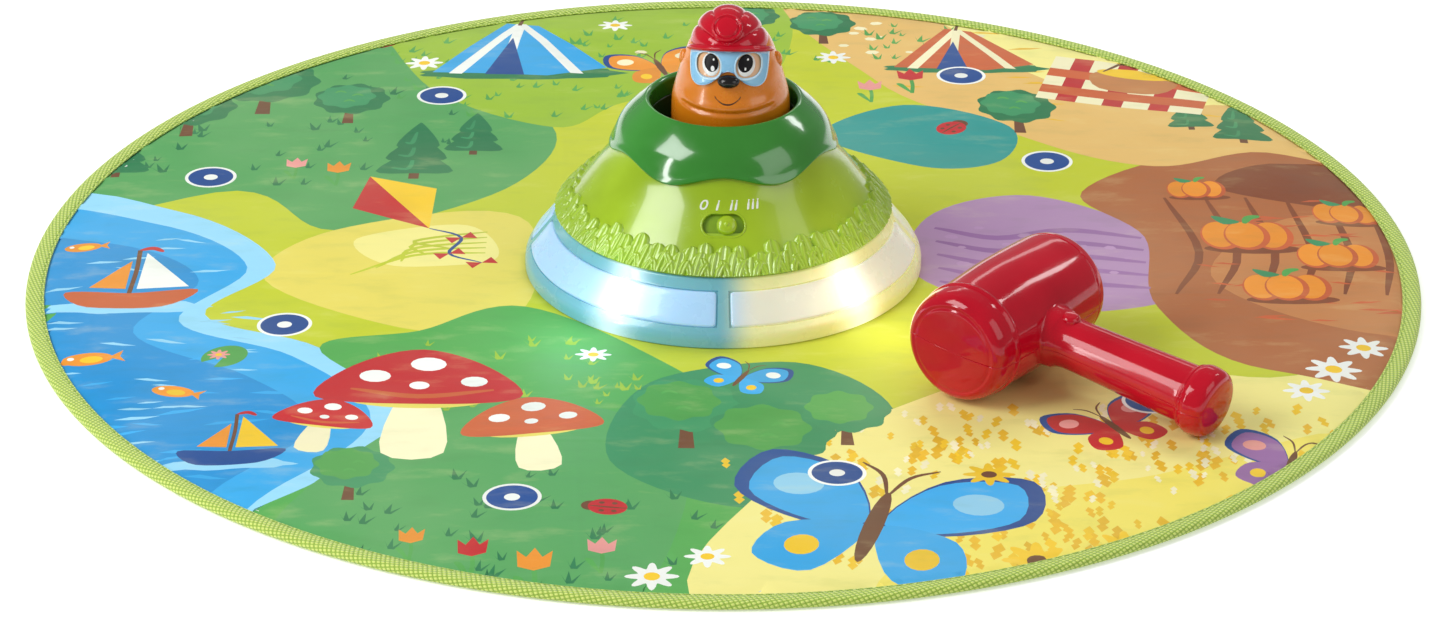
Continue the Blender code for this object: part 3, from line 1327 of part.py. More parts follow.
def face_pad(bm, centre_x, centre_z, half_width, half_height, low, high):
    """A thin oval pad wrapped on the front of the head, between two distances from it."""
    layers = []
    for distance in (high, low):
        rings = []
        for ring in range(PAD_RINGS + 1):
            share = ring / PAD_RINGS
            count = PAD_STEPS if ring else 1
            line = []
            for step in range(count):
                angle = FULL_TURN * step / PAD_STEPS
                x = centre_x + half_width * share * math.cos(angle)
                z = centre_z + half_height * share * math.sin(angle)
                radius = head_radius(z) + distance
                line.append(bm.verts.new((x, -math.sqrt(radius**2 - x**2), z)))
            rings.append(line)
        layers.append(rings)
    for rings in layers:
        for ring in range(PAD_RINGS):
            for step in range(PAD_STEPS):
                after = (step + 1) % PAD_STEPS
                inner = rings[ring]
                outer = rings[ring + 1]
                if ring == 0:
                    bm.faces.new((inner[0], outer[step], outer[after]))
                else:
                    bm.faces.new((inner[step], outer[step], outer[after], inner[after]))
    front = layers[0][-1]
    back = layers[1][-1]
    for step in range(PAD_STEPS):
        after = (step + 1) % PAD_STEPS
        bm.faces.new((front[step], back[step], back[after], front[after]))


def hat_frame():
    """The hat's seat on the head, tilted back."""
    return Matrix.Translation((0, 0, HAT_Z)) @ Matrix.Rotation(HAT_TILT, 4, "X")


def mole_face(parent):
    """Eyes, nose and goggles, each seated on the head with a hair's gap and ending below the brim."""
    under_brim = -BRIM_HALF_THICKNESS - BRIM_EDGE / 2 - GAP
    bm = bmesh.new()
    reach = 2 * BRIM_RADIUS
    add_box(bm, (-reach, -reach, under_brim), (reach, reach, reach), hat_frame())
    hat_room = add_object("hat_room", bm, parent=parent)
    for name, side in (("mole_eye_left", -1), ("mole_eye_right", 1)):
        bm = bmesh.new()
        face_pad(bm, side * EYE_X, EYE_Z, EYE_HALF_WIDTH, EYE_HALF_HEIGHT, GAP, GAP + EYE_THICKNESS)
        eye = add_object(name, bm, "eye_white", parent)
        combine(eye, hat_room)

    head = grown_head("head_clearance", GAP, parent)
    bm = bmesh.new()
    centre = (0, -head_radius(NOSE_Z) + NOSE_SUNK - NOSE_HALF_SIZES[1] / 2, NOSE_Z)
    add_ellipsoid(bm, centre, NOSE_HALF_SIZES, SMALL_STEPS, TINY_STEPS)
    nose = add_object("mole_nose", bm, "black_plastic", parent)
    combine(nose, head)

    # The goggles are the part of a thicker head that lies inside their outline.
    goggles = grown_head("goggle_stock", GAP + GOGGLE_THICKNESS, parent)
    goggles.name = "mole_goggles"
    goggles.hide_render = False
    goggles.display_type = "TEXTURED"
    own = finish_material("blue_plastic").copy()
    own.name = "mole_goggles_finish"
    goggles.data.materials.append(own)
    height = GOGGLE_HIGH_Z - GOGGLE_LOW_Z
    right = [
        (across * GOGGLE_HALF_WIDTH, GOGGLE_LOW_Z + up * height) for across, up in GOGGLE_OUTLINE_SHARES
    ]
    left = [(-x, z) for x, z in right[-2:0:-1]]
    to_front = Matrix.Rotation(math.pi / 2, 4, "X")
    reach = MOLE_CHEST_RADIUS + OVERRUN
    bm = bmesh.new()
    add_prism(bm, right + left, 0, reach, to_front)
    combine(goggles, add_object("goggle_outline", bm, parent=parent), "INTERSECT")
    combine(goggles, head)
    combine(goggles, hat_room)
    bm = bmesh.new()
    for side in (-1, 1):
        oval = [
            (
                side * GOGGLE_HOLE_X + GOGGLE_HOLE_HALF_WIDTH * math.cos(angle),
                EYE_Z + GOGGLE_HOLE_HALF_HEIGHT * math.sin(angle),
            )
            for angle in np.arange(SMALL_STEPS) * FULL_TURN / SMALL_STEPS
        ]
        add_prism(bm, oval, -OVERRUN, reach + OVERRUN, to_front)
    add_prism(bm, nose_outline(), -OVERRUN, reach + OVERRUN, to_front)
    combine(goggles, add_object("goggle_holes", bm, parent=parent))
    return head


def nose_outline():
    """The oval that the goggles leave free round the nose."""
    half_width = NOSE_HALF_SIZES[0] + GAP
    half_height = NOSE_HALF_SIZES[2] + GAP
    return [
        (half_width * math.cos(angle), NOSE_Z + half_height * math.sin(angle))
        for angle in np.arange(SMALL_STEPS) * FULL_TURN / SMALL_STEPS
    ]


def hat_point(lean, back):
    """A point of the hat's dome: an ellipsoid with ridges from front to back.

    Lean is the angle from straight up towards the side, and back is the angle from the front.
    """
    side = math.sin(back)
    direction = Vector((side * math.sin(lean), -math.cos(back), side * math.cos(lean)))
    ridge = HAT_LOBE_SHARE * math.cos(HAT_LOBES_PER_TURN * lean)
    square = HAT_SQUARE_SHARE * math.sin(2 * lean) ** 2
    scale = 1 + (ridge + square) * side
    return Vector(
        (
            HAT_HALF_WIDTH * scale * direction.x,
            HAT_HALF_DEPTH * scale * direction.y,
            HAT_HEIGHT * scale * direction.z,
        )
    )


def mole_hat(parent, head):
    """A ridged helmet with a brim and a lamp disc, tilted back on the head."""
    tilt = hat_frame()
    bm = bmesh.new()
    front = bm.verts.new(hat_point(0, 0))
    rear = bm.verts.new(hat_point(0, math.pi))
    lines = []
    for step in range(HAT_RIDGE_STEPS + 1):
        lean = math.pi * (step / HAT_RIDGE_STEPS - 1 / 2)
        backs = [math.pi * row / HAT_DEPTH_STEPS for row in range(1, HAT_DEPTH_STEPS)]
        lines.append([front, *(bm.verts.new(hat_point(lean, back)) for back in backs), rear])
    for first, second in zip(lines, lines[1:]):
        bm.faces.new((front, first[1], second[1]))
        bm.faces.new((first[-2], rear, second[-2]))
        for row in range(1, HAT_DEPTH_STEPS - 1):
            bm.faces.new((first[row], first[row + 1], second[row + 1], second[row]))
    bm.faces.new(lines[0] + lines[-1][-2:0:-1])
    bmesh.ops.transform(bm, matrix=tilt, verts=bm.verts)
    hat = add_object("mole_hat", bm, "red_plastic", parent)

    brim = bmesh.new()
    half = BRIM_HALF_THICKNESS + BRIM_EDGE / 2
    loop = [
        (BRIM_INNER_RADIUS, -half),
        (BRIM_RADIUS - BRIM_EDGE, -half),
        (BRIM_RADIUS, 0),
        (BRIM_RADIUS - BRIM_EDGE, half),
        (BRIM_INNER_RADIUS, half),
    ]
    spin_points(brim, loop, BRIM_STEPS)
    for vert in brim.verts:
        if vert.co.y < 0:
            vert.co.y *= BRIM_FRONT_SHARE
    bmesh.ops.transform(brim, matrix=tilt, verts=brim.verts)
    combine(hat, add_object("hat_brim", brim, parent=parent), "UNION")

    lamp = bmesh.new()
    out = hat_point(0, LAMP_ANGLE)
    facing = Matrix.Rotation(math.pi / 2 - LAMP_ANGLE, 4, "X")
    points = [
        (0, -LAMP_DEPTH),
        (LAMP_RADIUS, -LAMP_DEPTH),
        (LAMP_RADIUS, LAMP_STEP / 2),
        (LAMP_RADIUS - LAMP_STEP / 2, LAMP_STEP),
        (LAMP_RADIUS - LAMP_STEP, LAMP_STEP / 2),
        (LAMP_RADIUS / 2, LAMP_PROUD),
        (0, LAMP_PROUD + LAMP_STEP / 2),
    ]
    spin_points(lamp, points, SMALL_STEPS, False, tilt @ Matrix.Translation(out) @ facing)
    combine(hat, add_object("hat_lamp", lamp, parent=parent), "UNION")
    combine(hat, head)


def plunger(parent):
    """The stem under the mole: a flange, a grooved tube, and a flag for the sensor."""
    flange_radius = min(MOLE_FOOT_RADIUS, MOLE_CHEST_RADIUS) - MOLE_WALL - GAP
    flange_top = STEM_FLANGE_Z + STEM_FLANGE_THICKNESS
    bore = SCREW_SHANK_RADIUS + GAP
    groove_top = GUIDE_BOTTOM_Z - GAP + GAP / 2
    groove_low = groove_top - CLIP_HEIGHT - GAP
    groove = STEM_RADIUS - STEM_GROOVE_DEPTH
    loop = [
        (STEM_BORE_RADIUS, STEM_BOTTOM_Z),
        (STEM_RADIUS, STEM_BOTTOM_Z),
        (STEM_RADIUS, groove_low),
        (groove, groove_low),
        (groove, groove_top),
        (STEM_RADIUS, groove_top),
        (STEM_RADIUS, STEM_FLANGE_Z),
        (flange_radius, STEM_FLANGE_Z),
        (flange_radius, flange_top),
        (bore, flange_top),
        (bore, flange_top - STEM_HEAD_DEPTH),
        (STEM_BORE_RADIUS, flange_top - STEM_HEAD_DEPTH),
    ]
    stem = turned("plunger_stem", loop, SMALL_STEPS, "white_plastic", parent=parent)
    flag = bmesh.new()
    add_box(
        flag,
        (-FLAG_HALF_WIDTH, -FLAG_HALF_THICKNESS, FLAG_BOTTOM_Z),
        (FLAG_HALF_WIDTH, FLAG_HALF_THICKNESS, STEM_BOTTOM_Z + CLIP_HEIGHT),
    )
    combine(stem, add_object("sensor_flag", flag, parent=parent), "UNION")

    screw = bmesh.new()
    seat = flange_top - STEM_HEAD_DEPTH - GAP
    length = MOLE_BOSS_Z + SCREW_BITE - PILOT_SPARE_DEPTH - seat
    add_screw(
        screw,
        Matrix.Translation((0, 0, seat)),
        SCREW_HEAD_RADIUS,
        SCREW_HEAD_HEIGHT,
        SCREW_SHANK_RADIUS,
        length,
    )
    add_object("plunger_screw", screw, "steel", parent)

    clip_low = groove_low + GAP / 2
    loop = [
        (groove + GAP, clip_low),
        (CLIP_RADIUS, clip_low),
        (CLIP_RADIUS, clip_low + CLIP_HEIGHT),
        (groove + GAP, clip_low + CLIP_HEIGHT),
    ]
    clip = turned("plunger_clip", loop, SMALL_STEPS, "steel", parent=parent)
    mouth = bmesh.new()
    add_box(
        mouth,
        (-CLIP_MOUTH / 2, 0, clip_low - OVERRUN),
        (CLIP_MOUTH / 2, CLIP_RADIUS + OVERRUN, clip_low + CLIP_HEIGHT + OVERRUN),
    )
    combine(clip, add_object("clip_mouth", mouth, parent=parent))


def return_spring():
    """A coil round the guide, from the well's floor to the plunger's flange."""
    low = WELL_FLOOR_Z + WELL_FLOOR_THICKNESS + GAP + SPRING_WIRE_RADIUS
    high = STEM_FLANGE_Z - GAP - SPRING_WIRE_RADIUS
    count = SPRING_TURNS * SPRING_STEPS_PER_TURN
    curve = bpy.data.curves.new("return_spring", "CURVE")
    curve.dimensions = "3D"
    curve.bevel_depth = SPRING_WIRE_RADIUS
    curve.bevel_resolution = 0
    curve.use_fill_caps = True
    spline = curve.splines.new("POLY")
    spline.points.add(count)
    for index in range(count + 1):
        angle = FULL_TURN * index / SPRING_STEPS_PER_TURN
        z = low + (high - low) * index / count
        x = MOLE_X + SPRING_RADIUS * math.cos(angle)
        spline.points[index].co = (x, SPRING_RADIUS * math.sin(angle), z, 1)
    pitch = (high - low) / SPRING_TURNS
    print(f"return_spring: {pitch * 1000:.2f} mm a turn, {(pitch - 2 * SPRING_WIRE_RADIUS) * 1000:.2f} mm clear")
    spring = bpy.data.objects.new("return_spring", curve)
    bpy.context.collection.objects.link(spring)
    own = finish_material("steel").copy()
    own.name = "return_spring_finish"
    curve.materials.append(own)


def build_mole():
    axis = add_empty("mole_axis", Matrix.Translation((MOLE_X, 0, 0)))
    turned_axis = add_empty("mole_turn", Matrix.Rotation(MOLE_TURN, 4, "Z"))
    turned_axis.parent = axis
    mole_body(turned_axis)
    head = mole_face(turned_axis)
    mole_hat(turned_axis, head)
    plunger(axis)
    return_spring()


# Level switch


def slope_point(up, out):
    """A (radius, height) point beside the slot: up the slope, and out of the surface."""
    radius = dome_radius(LEVEL_Z) - up * math.sin(SLOPE_ANGLE) + out * math.cos(SLOPE_ANGLE)
    z = LEVEL_Z + up * math.cos(SLOPE_ANGLE) + out * math.sin(SLOPE_ANGLE)
    return radius, z


def level_knob(parent):
    """The knob, its curved slider behind the wall and its tongue, turning round the dome's axis."""
    top = -DOME_WALL - GAP
    bottom = top - SLIDER_THICKNESS
    reach = SLOT_HALF_LENGTH + LEVEL_TRAVEL / 2 + SLOT_CLEARANCE
    half_angle = reach / dome_radius(LEVEL_Z)
    section = [
        slope_point(-SLIDER_HALF_HEIGHT, bottom),
        slope_point(-SLIDER_HALF_HEIGHT, top),
        slope_point(SLIDER_HALF_HEIGHT, top),
        slope_point(SLIDER_HALF_HEIGHT, bottom),
    ]
    bm = bmesh.new()
    front = -math.pi / 2
    add_sector(bm, section, np.linspace(front - half_angle, front + half_angle, SLIDER_STEPS + 1))
    knob = add_object("level_knob", bm, "lime_plastic", parent)
    middle = (top + bottom) / 2
    points = [
        (0, bottom - TONGUE_LENGTH),
        (TONGUE_RADIUS, bottom - TONGUE_LENGTH),
        (TONGUE_RADIUS, middle),
        (KNOB_RADIUS, middle),
        (KNOB_RADIUS, KNOB_PROUD / 4),
        (KNOB_RADIUS * math.cos(math.pi / 6), KNOB_PROUD * 3 / 4),
        (KNOB_RADIUS / 2, KNOB_PROUD),
        (KNOB_NUB_RADIUS, KNOB_PROUD + KNOB_NUB_HEIGHT / 4),
        (KNOB_NUB_RADIUS / 2, KNOB_PROUD + KNOB_NUB_HEIGHT),
        (0, KNOB_PROUD + KNOB_NUB_HEIGHT),
    ]
    bm = bmesh.new()
    spin_points(bm, points, SMALL_STEPS, False, level_frame())
    combine(knob, add_object("knob_stock", bm, parent=parent), "UNION")


def level_switch():
    """The switch body behind the slider, on a small board screwed to the dome's two posts."""
    frame = level_frame()
    top = -SWITCH_START
    bottom = top - SWITCH_DEPTH
    bm = bmesh.new()
    add_box(
        bm,
        (-SWITCH_HALF_WIDTH, -SWITCH_HALF_HEIGHT, bottom),
        (SWITCH_HALF_WIDTH, SWITCH_HALF_HEIGHT, top),
        frame,
    )
    body = add_object("level_switch", bm, "black_plastic")
    half = LEVEL_TRAVEL / 2 + TONGUE_RADIUS + SWITCH_GROOVE_SPARE
    wide = TONGUE_RADIUS + SWITCH_GROOVE_SPARE
    tongue_end = DOME_WALL + GAP + SLIDER_THICKNESS + TONGUE_LENGTH
    cut = bmesh.new()
    add_box(cut, (-half, -wide, -tongue_end - SWITCH_GROOVE_SPARE), (half, wide, top + OVERRUN), frame)
    combine(body, add_object("switch_groove", cut))

    board_top = bottom - GAP
    board_low = board_top - BOARD_THICKNESS
    bm = bmesh.new()
    add_box(
        bm,
        (-LEVEL_BOARD_HALF_WIDTH, -LEVEL_BOARD_HALF_HEIGHT, board_low),
        (LEVEL_BOARD_HALF_WIDTH, LEVEL_BOARD_HALF_HEIGHT, board_top),
        frame,
    )
    board = add_object("level_board", bm, "circuit_board")
    cut = bmesh.new()
    for index, (x, y) in enumerate(level_post_spots()):
        add_cylinder(
            cut,
            BOARD_SCREW_RADIUS + GAP,
            board_low - OVERRUN,
            board_top + OVERRUN,
            x,
            y,
            TINY_STEPS,
            frame,
        )
        bm = bmesh.new()
        place = frame @ Matrix.Translation((x, y, board_low - GAP))
        length = BOARD_THICKNESS + SWITCH_DEPTH / 2
        add_screw(bm, place, BOARD_SCREW_HEAD_RADIUS, BOARD_SCREW_HEAD_HEIGHT, BOARD_SCREW_RADIUS, length)
        add_object(f"level_board_screw_{index + 1}", bm, "steel")
    combine(board, add_object("level_board_holes", cut))


def build_level():
    turn = LEVEL_REST_OFFSET / dome_radius(LEVEL_Z)
    parent = add_empty("level_axis", Matrix.Rotation(turn, 4, "Z"))
    level_knob(parent)
    level_switch()
    step = LEVEL_PITCH / dome_radius(LEVEL_Z)
    low = -LEVEL_REST_POSITION * step
    high = (LEVEL_POSITIONS - 1 - LEVEL_REST_POSITION) * step
    print(f"level_knob turns from {math.degrees(low):.2f} to {math.degrees(high):.2f} degrees")


# Hammer


def head_outline():
    """The outside of the hammer's head, from one face to the other, as radius and place along its axis."""
    end = HEAD_HALF_LENGTH
    corner = []
    for angle in np.linspace(0, math.pi / 2, HEAD_CORNER_POINTS):
        radius = HEAD_EDGE_RADIUS - (HEAD_EDGE_RADIUS - HEAD_FACE_RADIUS) * (1 - math.sin(angle))
        place = end - HEAD_FACE_CROWN - HEAD_CORNER * (1 - math.cos(angle))
        corner.append((radius, place))
    near = [(0, -end)] + [(radius, -place) for radius, place in corner]
    bead = -end + BEAD_FROM_FACE
    near += [
        (HEAD_EDGE_RADIUS, bead - BEAD_HALF_WIDTH),
        (HEAD_EDGE_RADIUS + BEAD_PROUD, bead),
        (HEAD_EDGE_RADIUS, bead + BEAD_HALF_WIDTH),
    ]
    far = corner[::-1] + [(0, end)]
    return near + [(HEAD_RADIUS, 0)] + far


def handle_outline():
    """The outside of the handle, from inside the head to its rounded end."""
    reach = HAMMER_REACH
    return [
        (0, HANDLE_START),
        (NECK_RADIUS, HANDLE_START),
        (NECK_RADIUS, NECK_REACH),
        (HANDLE_THIN_RADIUS, NECK_END_REACH),
        (HANDLE_THICK_RADIUS, HANDLE_END_REACH),
        (FLANGE_RADIUS, HANDLE_END_REACH + FLANGE_ROUND),
        (FLANGE_RADIUS, reach - FLANGE_ROUND - FLANGE_ROUND),
        (HANDLE_CROWN_RADIUS, reach - FLANGE_ROUND / 2),
        (0, reach),
    ]


def shrunk(points, wall):
    """An outline that starts and ends on the axis, moved in by a wall."""
    return offset_outline(points, wall)


def hammer_frame():
    """The head's centre: X along the handle, Y along the head, which lies level on the mat."""
    head_z = PRINT_TOP_Z + GAP + HEAD_RADIUS
    flange_z = PRINT_TOP_Z + GAP + FLANGE_RADIUS
    flange_reach = (HANDLE_END_REACH + HAMMER_REACH) / 2
    sine = (head_z - flange_z) / flange_reach
    cosine = math.sqrt(1 - sine**2)
    head_axis = Vector((math.cos(HAMMER_TURN), math.sin(HAMMER_TURN), 0))
    level = Vector((math.sin(HAMMER_TURN), -math.cos(HAMMER_TURN), 0))
    handle = level * cosine - Vector((0, 0, sine))
    up = handle.cross(head_axis)
    rotation = Matrix((handle, head_axis, up)).transposed().to_4x4()
    return Matrix.Translation((HAMMER_X, HAMMER_Y, head_z)) @ rotation


def build_hammer():
    parent = add_empty("hammer_origin", hammer_frame())
    along_y = Matrix.Rotation(-math.pi / 2, 4, "X")
    along_handle = Matrix.Rotation(math.pi / 2, 4, "Y")
    head_inner = shrunk(head_outline(), HAMMER_WALL)
    handle_inner = shrunk(handle_outline(), HAMMER_WALL)
    handle_inner[0] = (0, HANDLE_START - HAMMER_WALL)
    handle_inner[1] = (handle_inner[1][0], HANDLE_START - HAMMER_WALL)
    handle = turned("handle_stock", handle_outline(), HANDLE_STEPS, None, False, along_handle, parent)
    hollow = turned("head_hollow", head_inner, HEAD_STEPS, None, False, along_y, parent)
    handle_hollow = turned("handle_hollow", handle_inner, HANDLE_STEPS, None, False, along_handle, parent)
    combine(hollow, handle_hollow, "UNION")
    reach = HAMMER_REACH + HEAD_RADIUS
    for name, side in (("hammer_shell_upper", 1), ("hammer_shell_lower", -1)):
        shell = turned(name, head_outline(), HEAD_STEPS, "red_plastic", False, along_y, parent)
        combine(shell, handle, "UNION")
        combine(shell, hollow)
        bm = bmesh.new()
        near = side * GAP / 2
        far = -side * reach
        add_box(bm, (-reach, -reach, min(near, far)), (reach, reach, max(near, far)))
        combine(shell, add_object(name + "_split", bm, parent=parent))


def build_console():
    base_plate()
    base_screws()
    battery_door()
    battery_door_screw()
    battery_cells()
    battery_contacts()
    loudspeaker()
    main_board()
    strike_sensor()
    light_ring()
    light_board()
    dome_shell()
    grass_skirt()
    hill_collar()
    mole_well()


def main():
    clear_scene()
    build_mat()
    build_console()
    build_mole()
    build_level()
    build_hammer()


main()
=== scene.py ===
# %% [markdown]
# # Electronic play mat
# A round printed mat with a light-up hill in its middle, a sprung mole in the hill, and a toy mallet.
# Each step below makes one group of pieces, gives it a material, and lets it ride on its CAD body.

import json
from math import atan, cos, hypot, pi, radians, sin, sqrt

import bmesh
import bpy
import numpy as np
from mathutils import Matrix, Vector
from mathutils.geometry import delaunay_2d_cdt


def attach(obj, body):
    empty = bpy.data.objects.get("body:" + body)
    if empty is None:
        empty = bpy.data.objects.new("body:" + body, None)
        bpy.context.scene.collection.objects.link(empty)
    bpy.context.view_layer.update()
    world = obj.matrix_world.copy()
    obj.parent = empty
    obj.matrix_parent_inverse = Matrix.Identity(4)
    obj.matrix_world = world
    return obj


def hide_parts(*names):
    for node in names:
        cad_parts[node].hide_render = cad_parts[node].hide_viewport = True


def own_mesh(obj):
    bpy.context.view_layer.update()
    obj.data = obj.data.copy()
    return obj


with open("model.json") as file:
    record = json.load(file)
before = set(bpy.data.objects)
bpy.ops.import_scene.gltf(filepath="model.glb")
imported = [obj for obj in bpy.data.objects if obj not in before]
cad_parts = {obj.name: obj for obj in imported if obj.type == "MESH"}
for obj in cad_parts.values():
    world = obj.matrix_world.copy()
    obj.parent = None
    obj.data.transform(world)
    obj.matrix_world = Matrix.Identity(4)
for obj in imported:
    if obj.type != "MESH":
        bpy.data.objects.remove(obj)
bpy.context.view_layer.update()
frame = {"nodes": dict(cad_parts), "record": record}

# %% [markdown]
# ## Camera and light
# The camera was fitted to the mat's outline in the photograph: a long lens, 2.64 m away, 25 degrees up.
# Soft boxes stand where the highlights on the dome and the mallet ask for them.


# %% Camera
def placed(name, data):
    """A new object with this data, linked into the scene."""
    made = bpy.data.objects.new(name, data)
    bpy.context.scene.collection.objects.link(made)
    return made


def spin(degrees, axis):
    """A rotation about an axis, as a 4 by 4 matrix."""
    return Matrix.Rotation(radians(degrees), 4, axis)


DISTANCE, RISE = 2.6408, 25.42
data = bpy.data.cameras.new("photo_camera")
data.sensor_width, data.lens = 36, 4566 / 1433 * 36
camera = placed("photo_camera", data)
spot = (-0.0012, -DISTANCE * cos(radians(RISE)), DISTANCE * sin(radians(RISE)) + 0.002)
pan, tilt, roll = spin(0.058, "Y"), spin(-0.621, "X"), spin(0.08, "Z")
camera.matrix_world = Matrix.Translation(spot) @ spin(90 - RISE, "X") @ pan @ tilt @ roll
bpy.context.scene.camera = camera
print("Camera at", np.round(camera.location, 3).tolist())

# %% Lights
LOW_MIDDLE = (0, 0, 0.05)
for name, spot, target, size, power in (
    ("key_left", (-1.66, -0.75, 1.7), LOW_MIDDLE, (1.3, 1.1), 34),
    ("fill_right", (1.9, -1.2, 1.3), LOW_MIDDLE, (1.5, 1.5), 12),
    ("top_back", (0.2, 1.3, 2.0), (0, 0, 0), (2.0, 0.6), 20),
    ("side_left", (-1.62, -0.97, 0.64), (0.22, -0.19, 0.2), (0.18, 0.8), 7),
    ("low_back", (0.3, 2.2, 1.2), (0.1, -0.1, 0.05), (1.8, 0.2), 2.6),
    ("high_right", (1.5, 0.85, 1.3), (0.1, -0.1, 0.1), (0.2, 0.45), 2.6),
):
    data = bpy.data.lights.new(name, "AREA")
    data.shape, data.energy = "RECTANGLE", power
    data.size, data.size_y = size
    light = placed(name, data)
    light.location = spot
    light.rotation_euler = (Vector(target) - Vector(spot)).to_track_quat("-Z", "Y").to_euler()
    light.visible_glossy = name != "top_back"
for name, spot, colour in (
    ("glow_left", (-0.085, -0.105, 0.035), (0.45, 0.75, 1)),
    ("glow_right", (0.095, -0.1, 0.035), (1, 0.9, 0.6)),
):
    data = bpy.data.lights.new(name, "POINT")
    data.energy, data.color, data.shadow_soft_size = 0.05, colour, 0.03
    placed(name, data).location = spot
world = bpy.data.worlds.new("studio")
world.use_nodes = True
background = world.node_tree.nodes["Background"].inputs
background["Color"].default_value, background["Strength"].default_value = (0.93, 0.96, 1, 1), 0.27
bpy.context.scene.world = world
bpy.context.scene.view_settings.view_transform = "Standard"

# %% [markdown]
# ## Shader formulas
# `Flow` wraps a socket, so that a material is written as a formula. Numbers go through Math nodes,
# vectors through Vector Math, and colours are mixed with Mix nodes.


# %% Flow
def formula(operation, reflected=False):
    """An operator of Flow: one Math node on its two terms, the other way round where reflected."""

    def operator(self, other):
        return self.math(operation, *((other, self) if reflected else (self, other)))

    return operator


class Flow:
    """A socket of one node tree that takes part in formulas."""

    __add__ = __radd__ = formula("ADD")
    __mul__ = __rmul__ = formula("MULTIPLY")
    __sub__, __rsub__ = formula("SUBTRACT"), formula("SUBTRACT", True)
    __truediv__, __rtruediv__ = formula("DIVIDE"), formula("DIVIDE", True)

    def __init__(self, tree, socket=None):
        self.tree, self.socket = tree, socket

    def __abs__(self):
        return self.math("ABSOLUTE", self)

    def feed(self, target, value):
        """Links a Flow to an input, or sets the input to a plain value."""
        if isinstance(value, Flow):
            self.tree.links.new(value.socket, target)
        else:
            target.default_value = (*value, 1) if target.type == "RGBA" and len(value) == 3 else value

    def node(self, kind, settings=None, values=None, output=0):
        """Any node, from its type, its settings, and values by the name or number of their sockets."""
        made = self.tree.nodes.new(kind)
        for name, value in (settings or {}).items():
            setattr(made, name, value)
        for name, value in (values or {}).items():
            self.feed(made.inputs[name], value)
        return Flow(self.tree, made.outputs[output])

    def math(self, operation, *terms):
        """A Math node, or a Vector Math node where any term is a vector."""
        wide = any(isinstance(term, Flow) and term.socket.type == "VECTOR" or isinstance(term, tuple) for term in terms)
        if wide:
            terms = [(term,) * 3 if isinstance(term, (int, float)) else term for term in terms]
        kind = "ShaderNodeVectorMath" if wide else "ShaderNodeMath"
        return self.node(kind, {"operation": operation}, dict(enumerate(terms)))

    def sine(self, wave):
        """A sine over this number, with its wavelength."""
        return self.math("SINE", self * (2 * pi / wave))

    def mix(self, first, second):
        """The colour between two colours, with this number as the share of the second."""
        return self.node("ShaderNodeMix", {"data_type": "RGBA"}, {0: self, 6: first, 7: second}, 2)

    def ramp(self, low, high, bottom=0, top=1):
        """A smooth step from bottom to top while this number goes from low to high."""
        values = {0: self, 1: low, 2: high, 3: bottom, 4: top}
        return self.node("ShaderNodeMapRange", {"interpolation_type": "SMOOTHSTEP"}, values)

    def place(self, kind="Object"):
        """Object coordinates in metres, or the piece's own UV map."""
        return self.node("ShaderNodeTexCoord", output=kind)

    def xy(self, kind="Object"):
        """The first two numbers of the coordinates."""
        return [self.node("ShaderNodeSeparateXYZ", values={0: self.place(kind)}, output=axis) for axis in "XY"]

    def noise(self, scale, detail=3, rough=0.5, stretch=None):
        """Fractal noise about 0.5 over object coordinates, in waves per metre."""
        where = self.place() if stretch is None else self.place() * stretch
        values = {"Vector": where, "Scale": scale, "Detail": detail, "Roughness": rough}
        return self.node("ShaderNodeTexNoise", values=values)

    def bump(self, height, strength, distance):
        """A normal from a height."""
        return self.node("ShaderNodeBump", values={"Height": height, "Strength": strength, "Distance": distance})


materials = {}


def material(name, recipe, **constants):
    """A Principled material: the recipe gives colour, roughness, normal and glow, and constants stay on the shader."""
    made = materials[name] = bpy.data.materials.new(name)
    made.use_nodes = True
    shader = made.node_tree.nodes["Principled BSDF"]
    flow = Flow(made.node_tree)
    varying = zip(("Base Color", "Roughness", "Normal", "Emission Color"), recipe(flow))
    for key, value in (*constants.items(), *varying):
        flow.feed(shader.inputs[key.replace("_", " ")], value)
    return made


# %% [markdown]
# ## Materials
# Moulded plastic has a clear gloss over a faint orange peel, with a little uneven colour and dulling.
# Woven and coated cloth is built from waves across its own UV map or across the mat.


# %% Plastics
def plastic(name, colour, gloss=0.2, coat=0.4, peel=0.025, grain=1.0, **more):
    """Moulded plastic: colour drifts by a few percent, and gloss dulls in soft patches."""

    def recipe(f):
        drift, handled = f.noise(14 * grain, 4), f.noise(55 * grain, 5, 0.65)
        dark, light = [0.84 * part for part in colour], [min(1, 1.1 * part + 0.004) for part in colour]
        shade = drift.ramp(0.3, 0.7).mix(dark, light)
        dull = handled.ramp(0.35, 0.8, gloss, gloss + 0.1)
        return shade, dull, f.bump(f.noise(300 * grain, 2) + f.noise(60 * grain, 2) * 2, peel, 0.0003)

    material(name, recipe, Coat_Weight=coat, Coat_Roughness=0.04, **more)


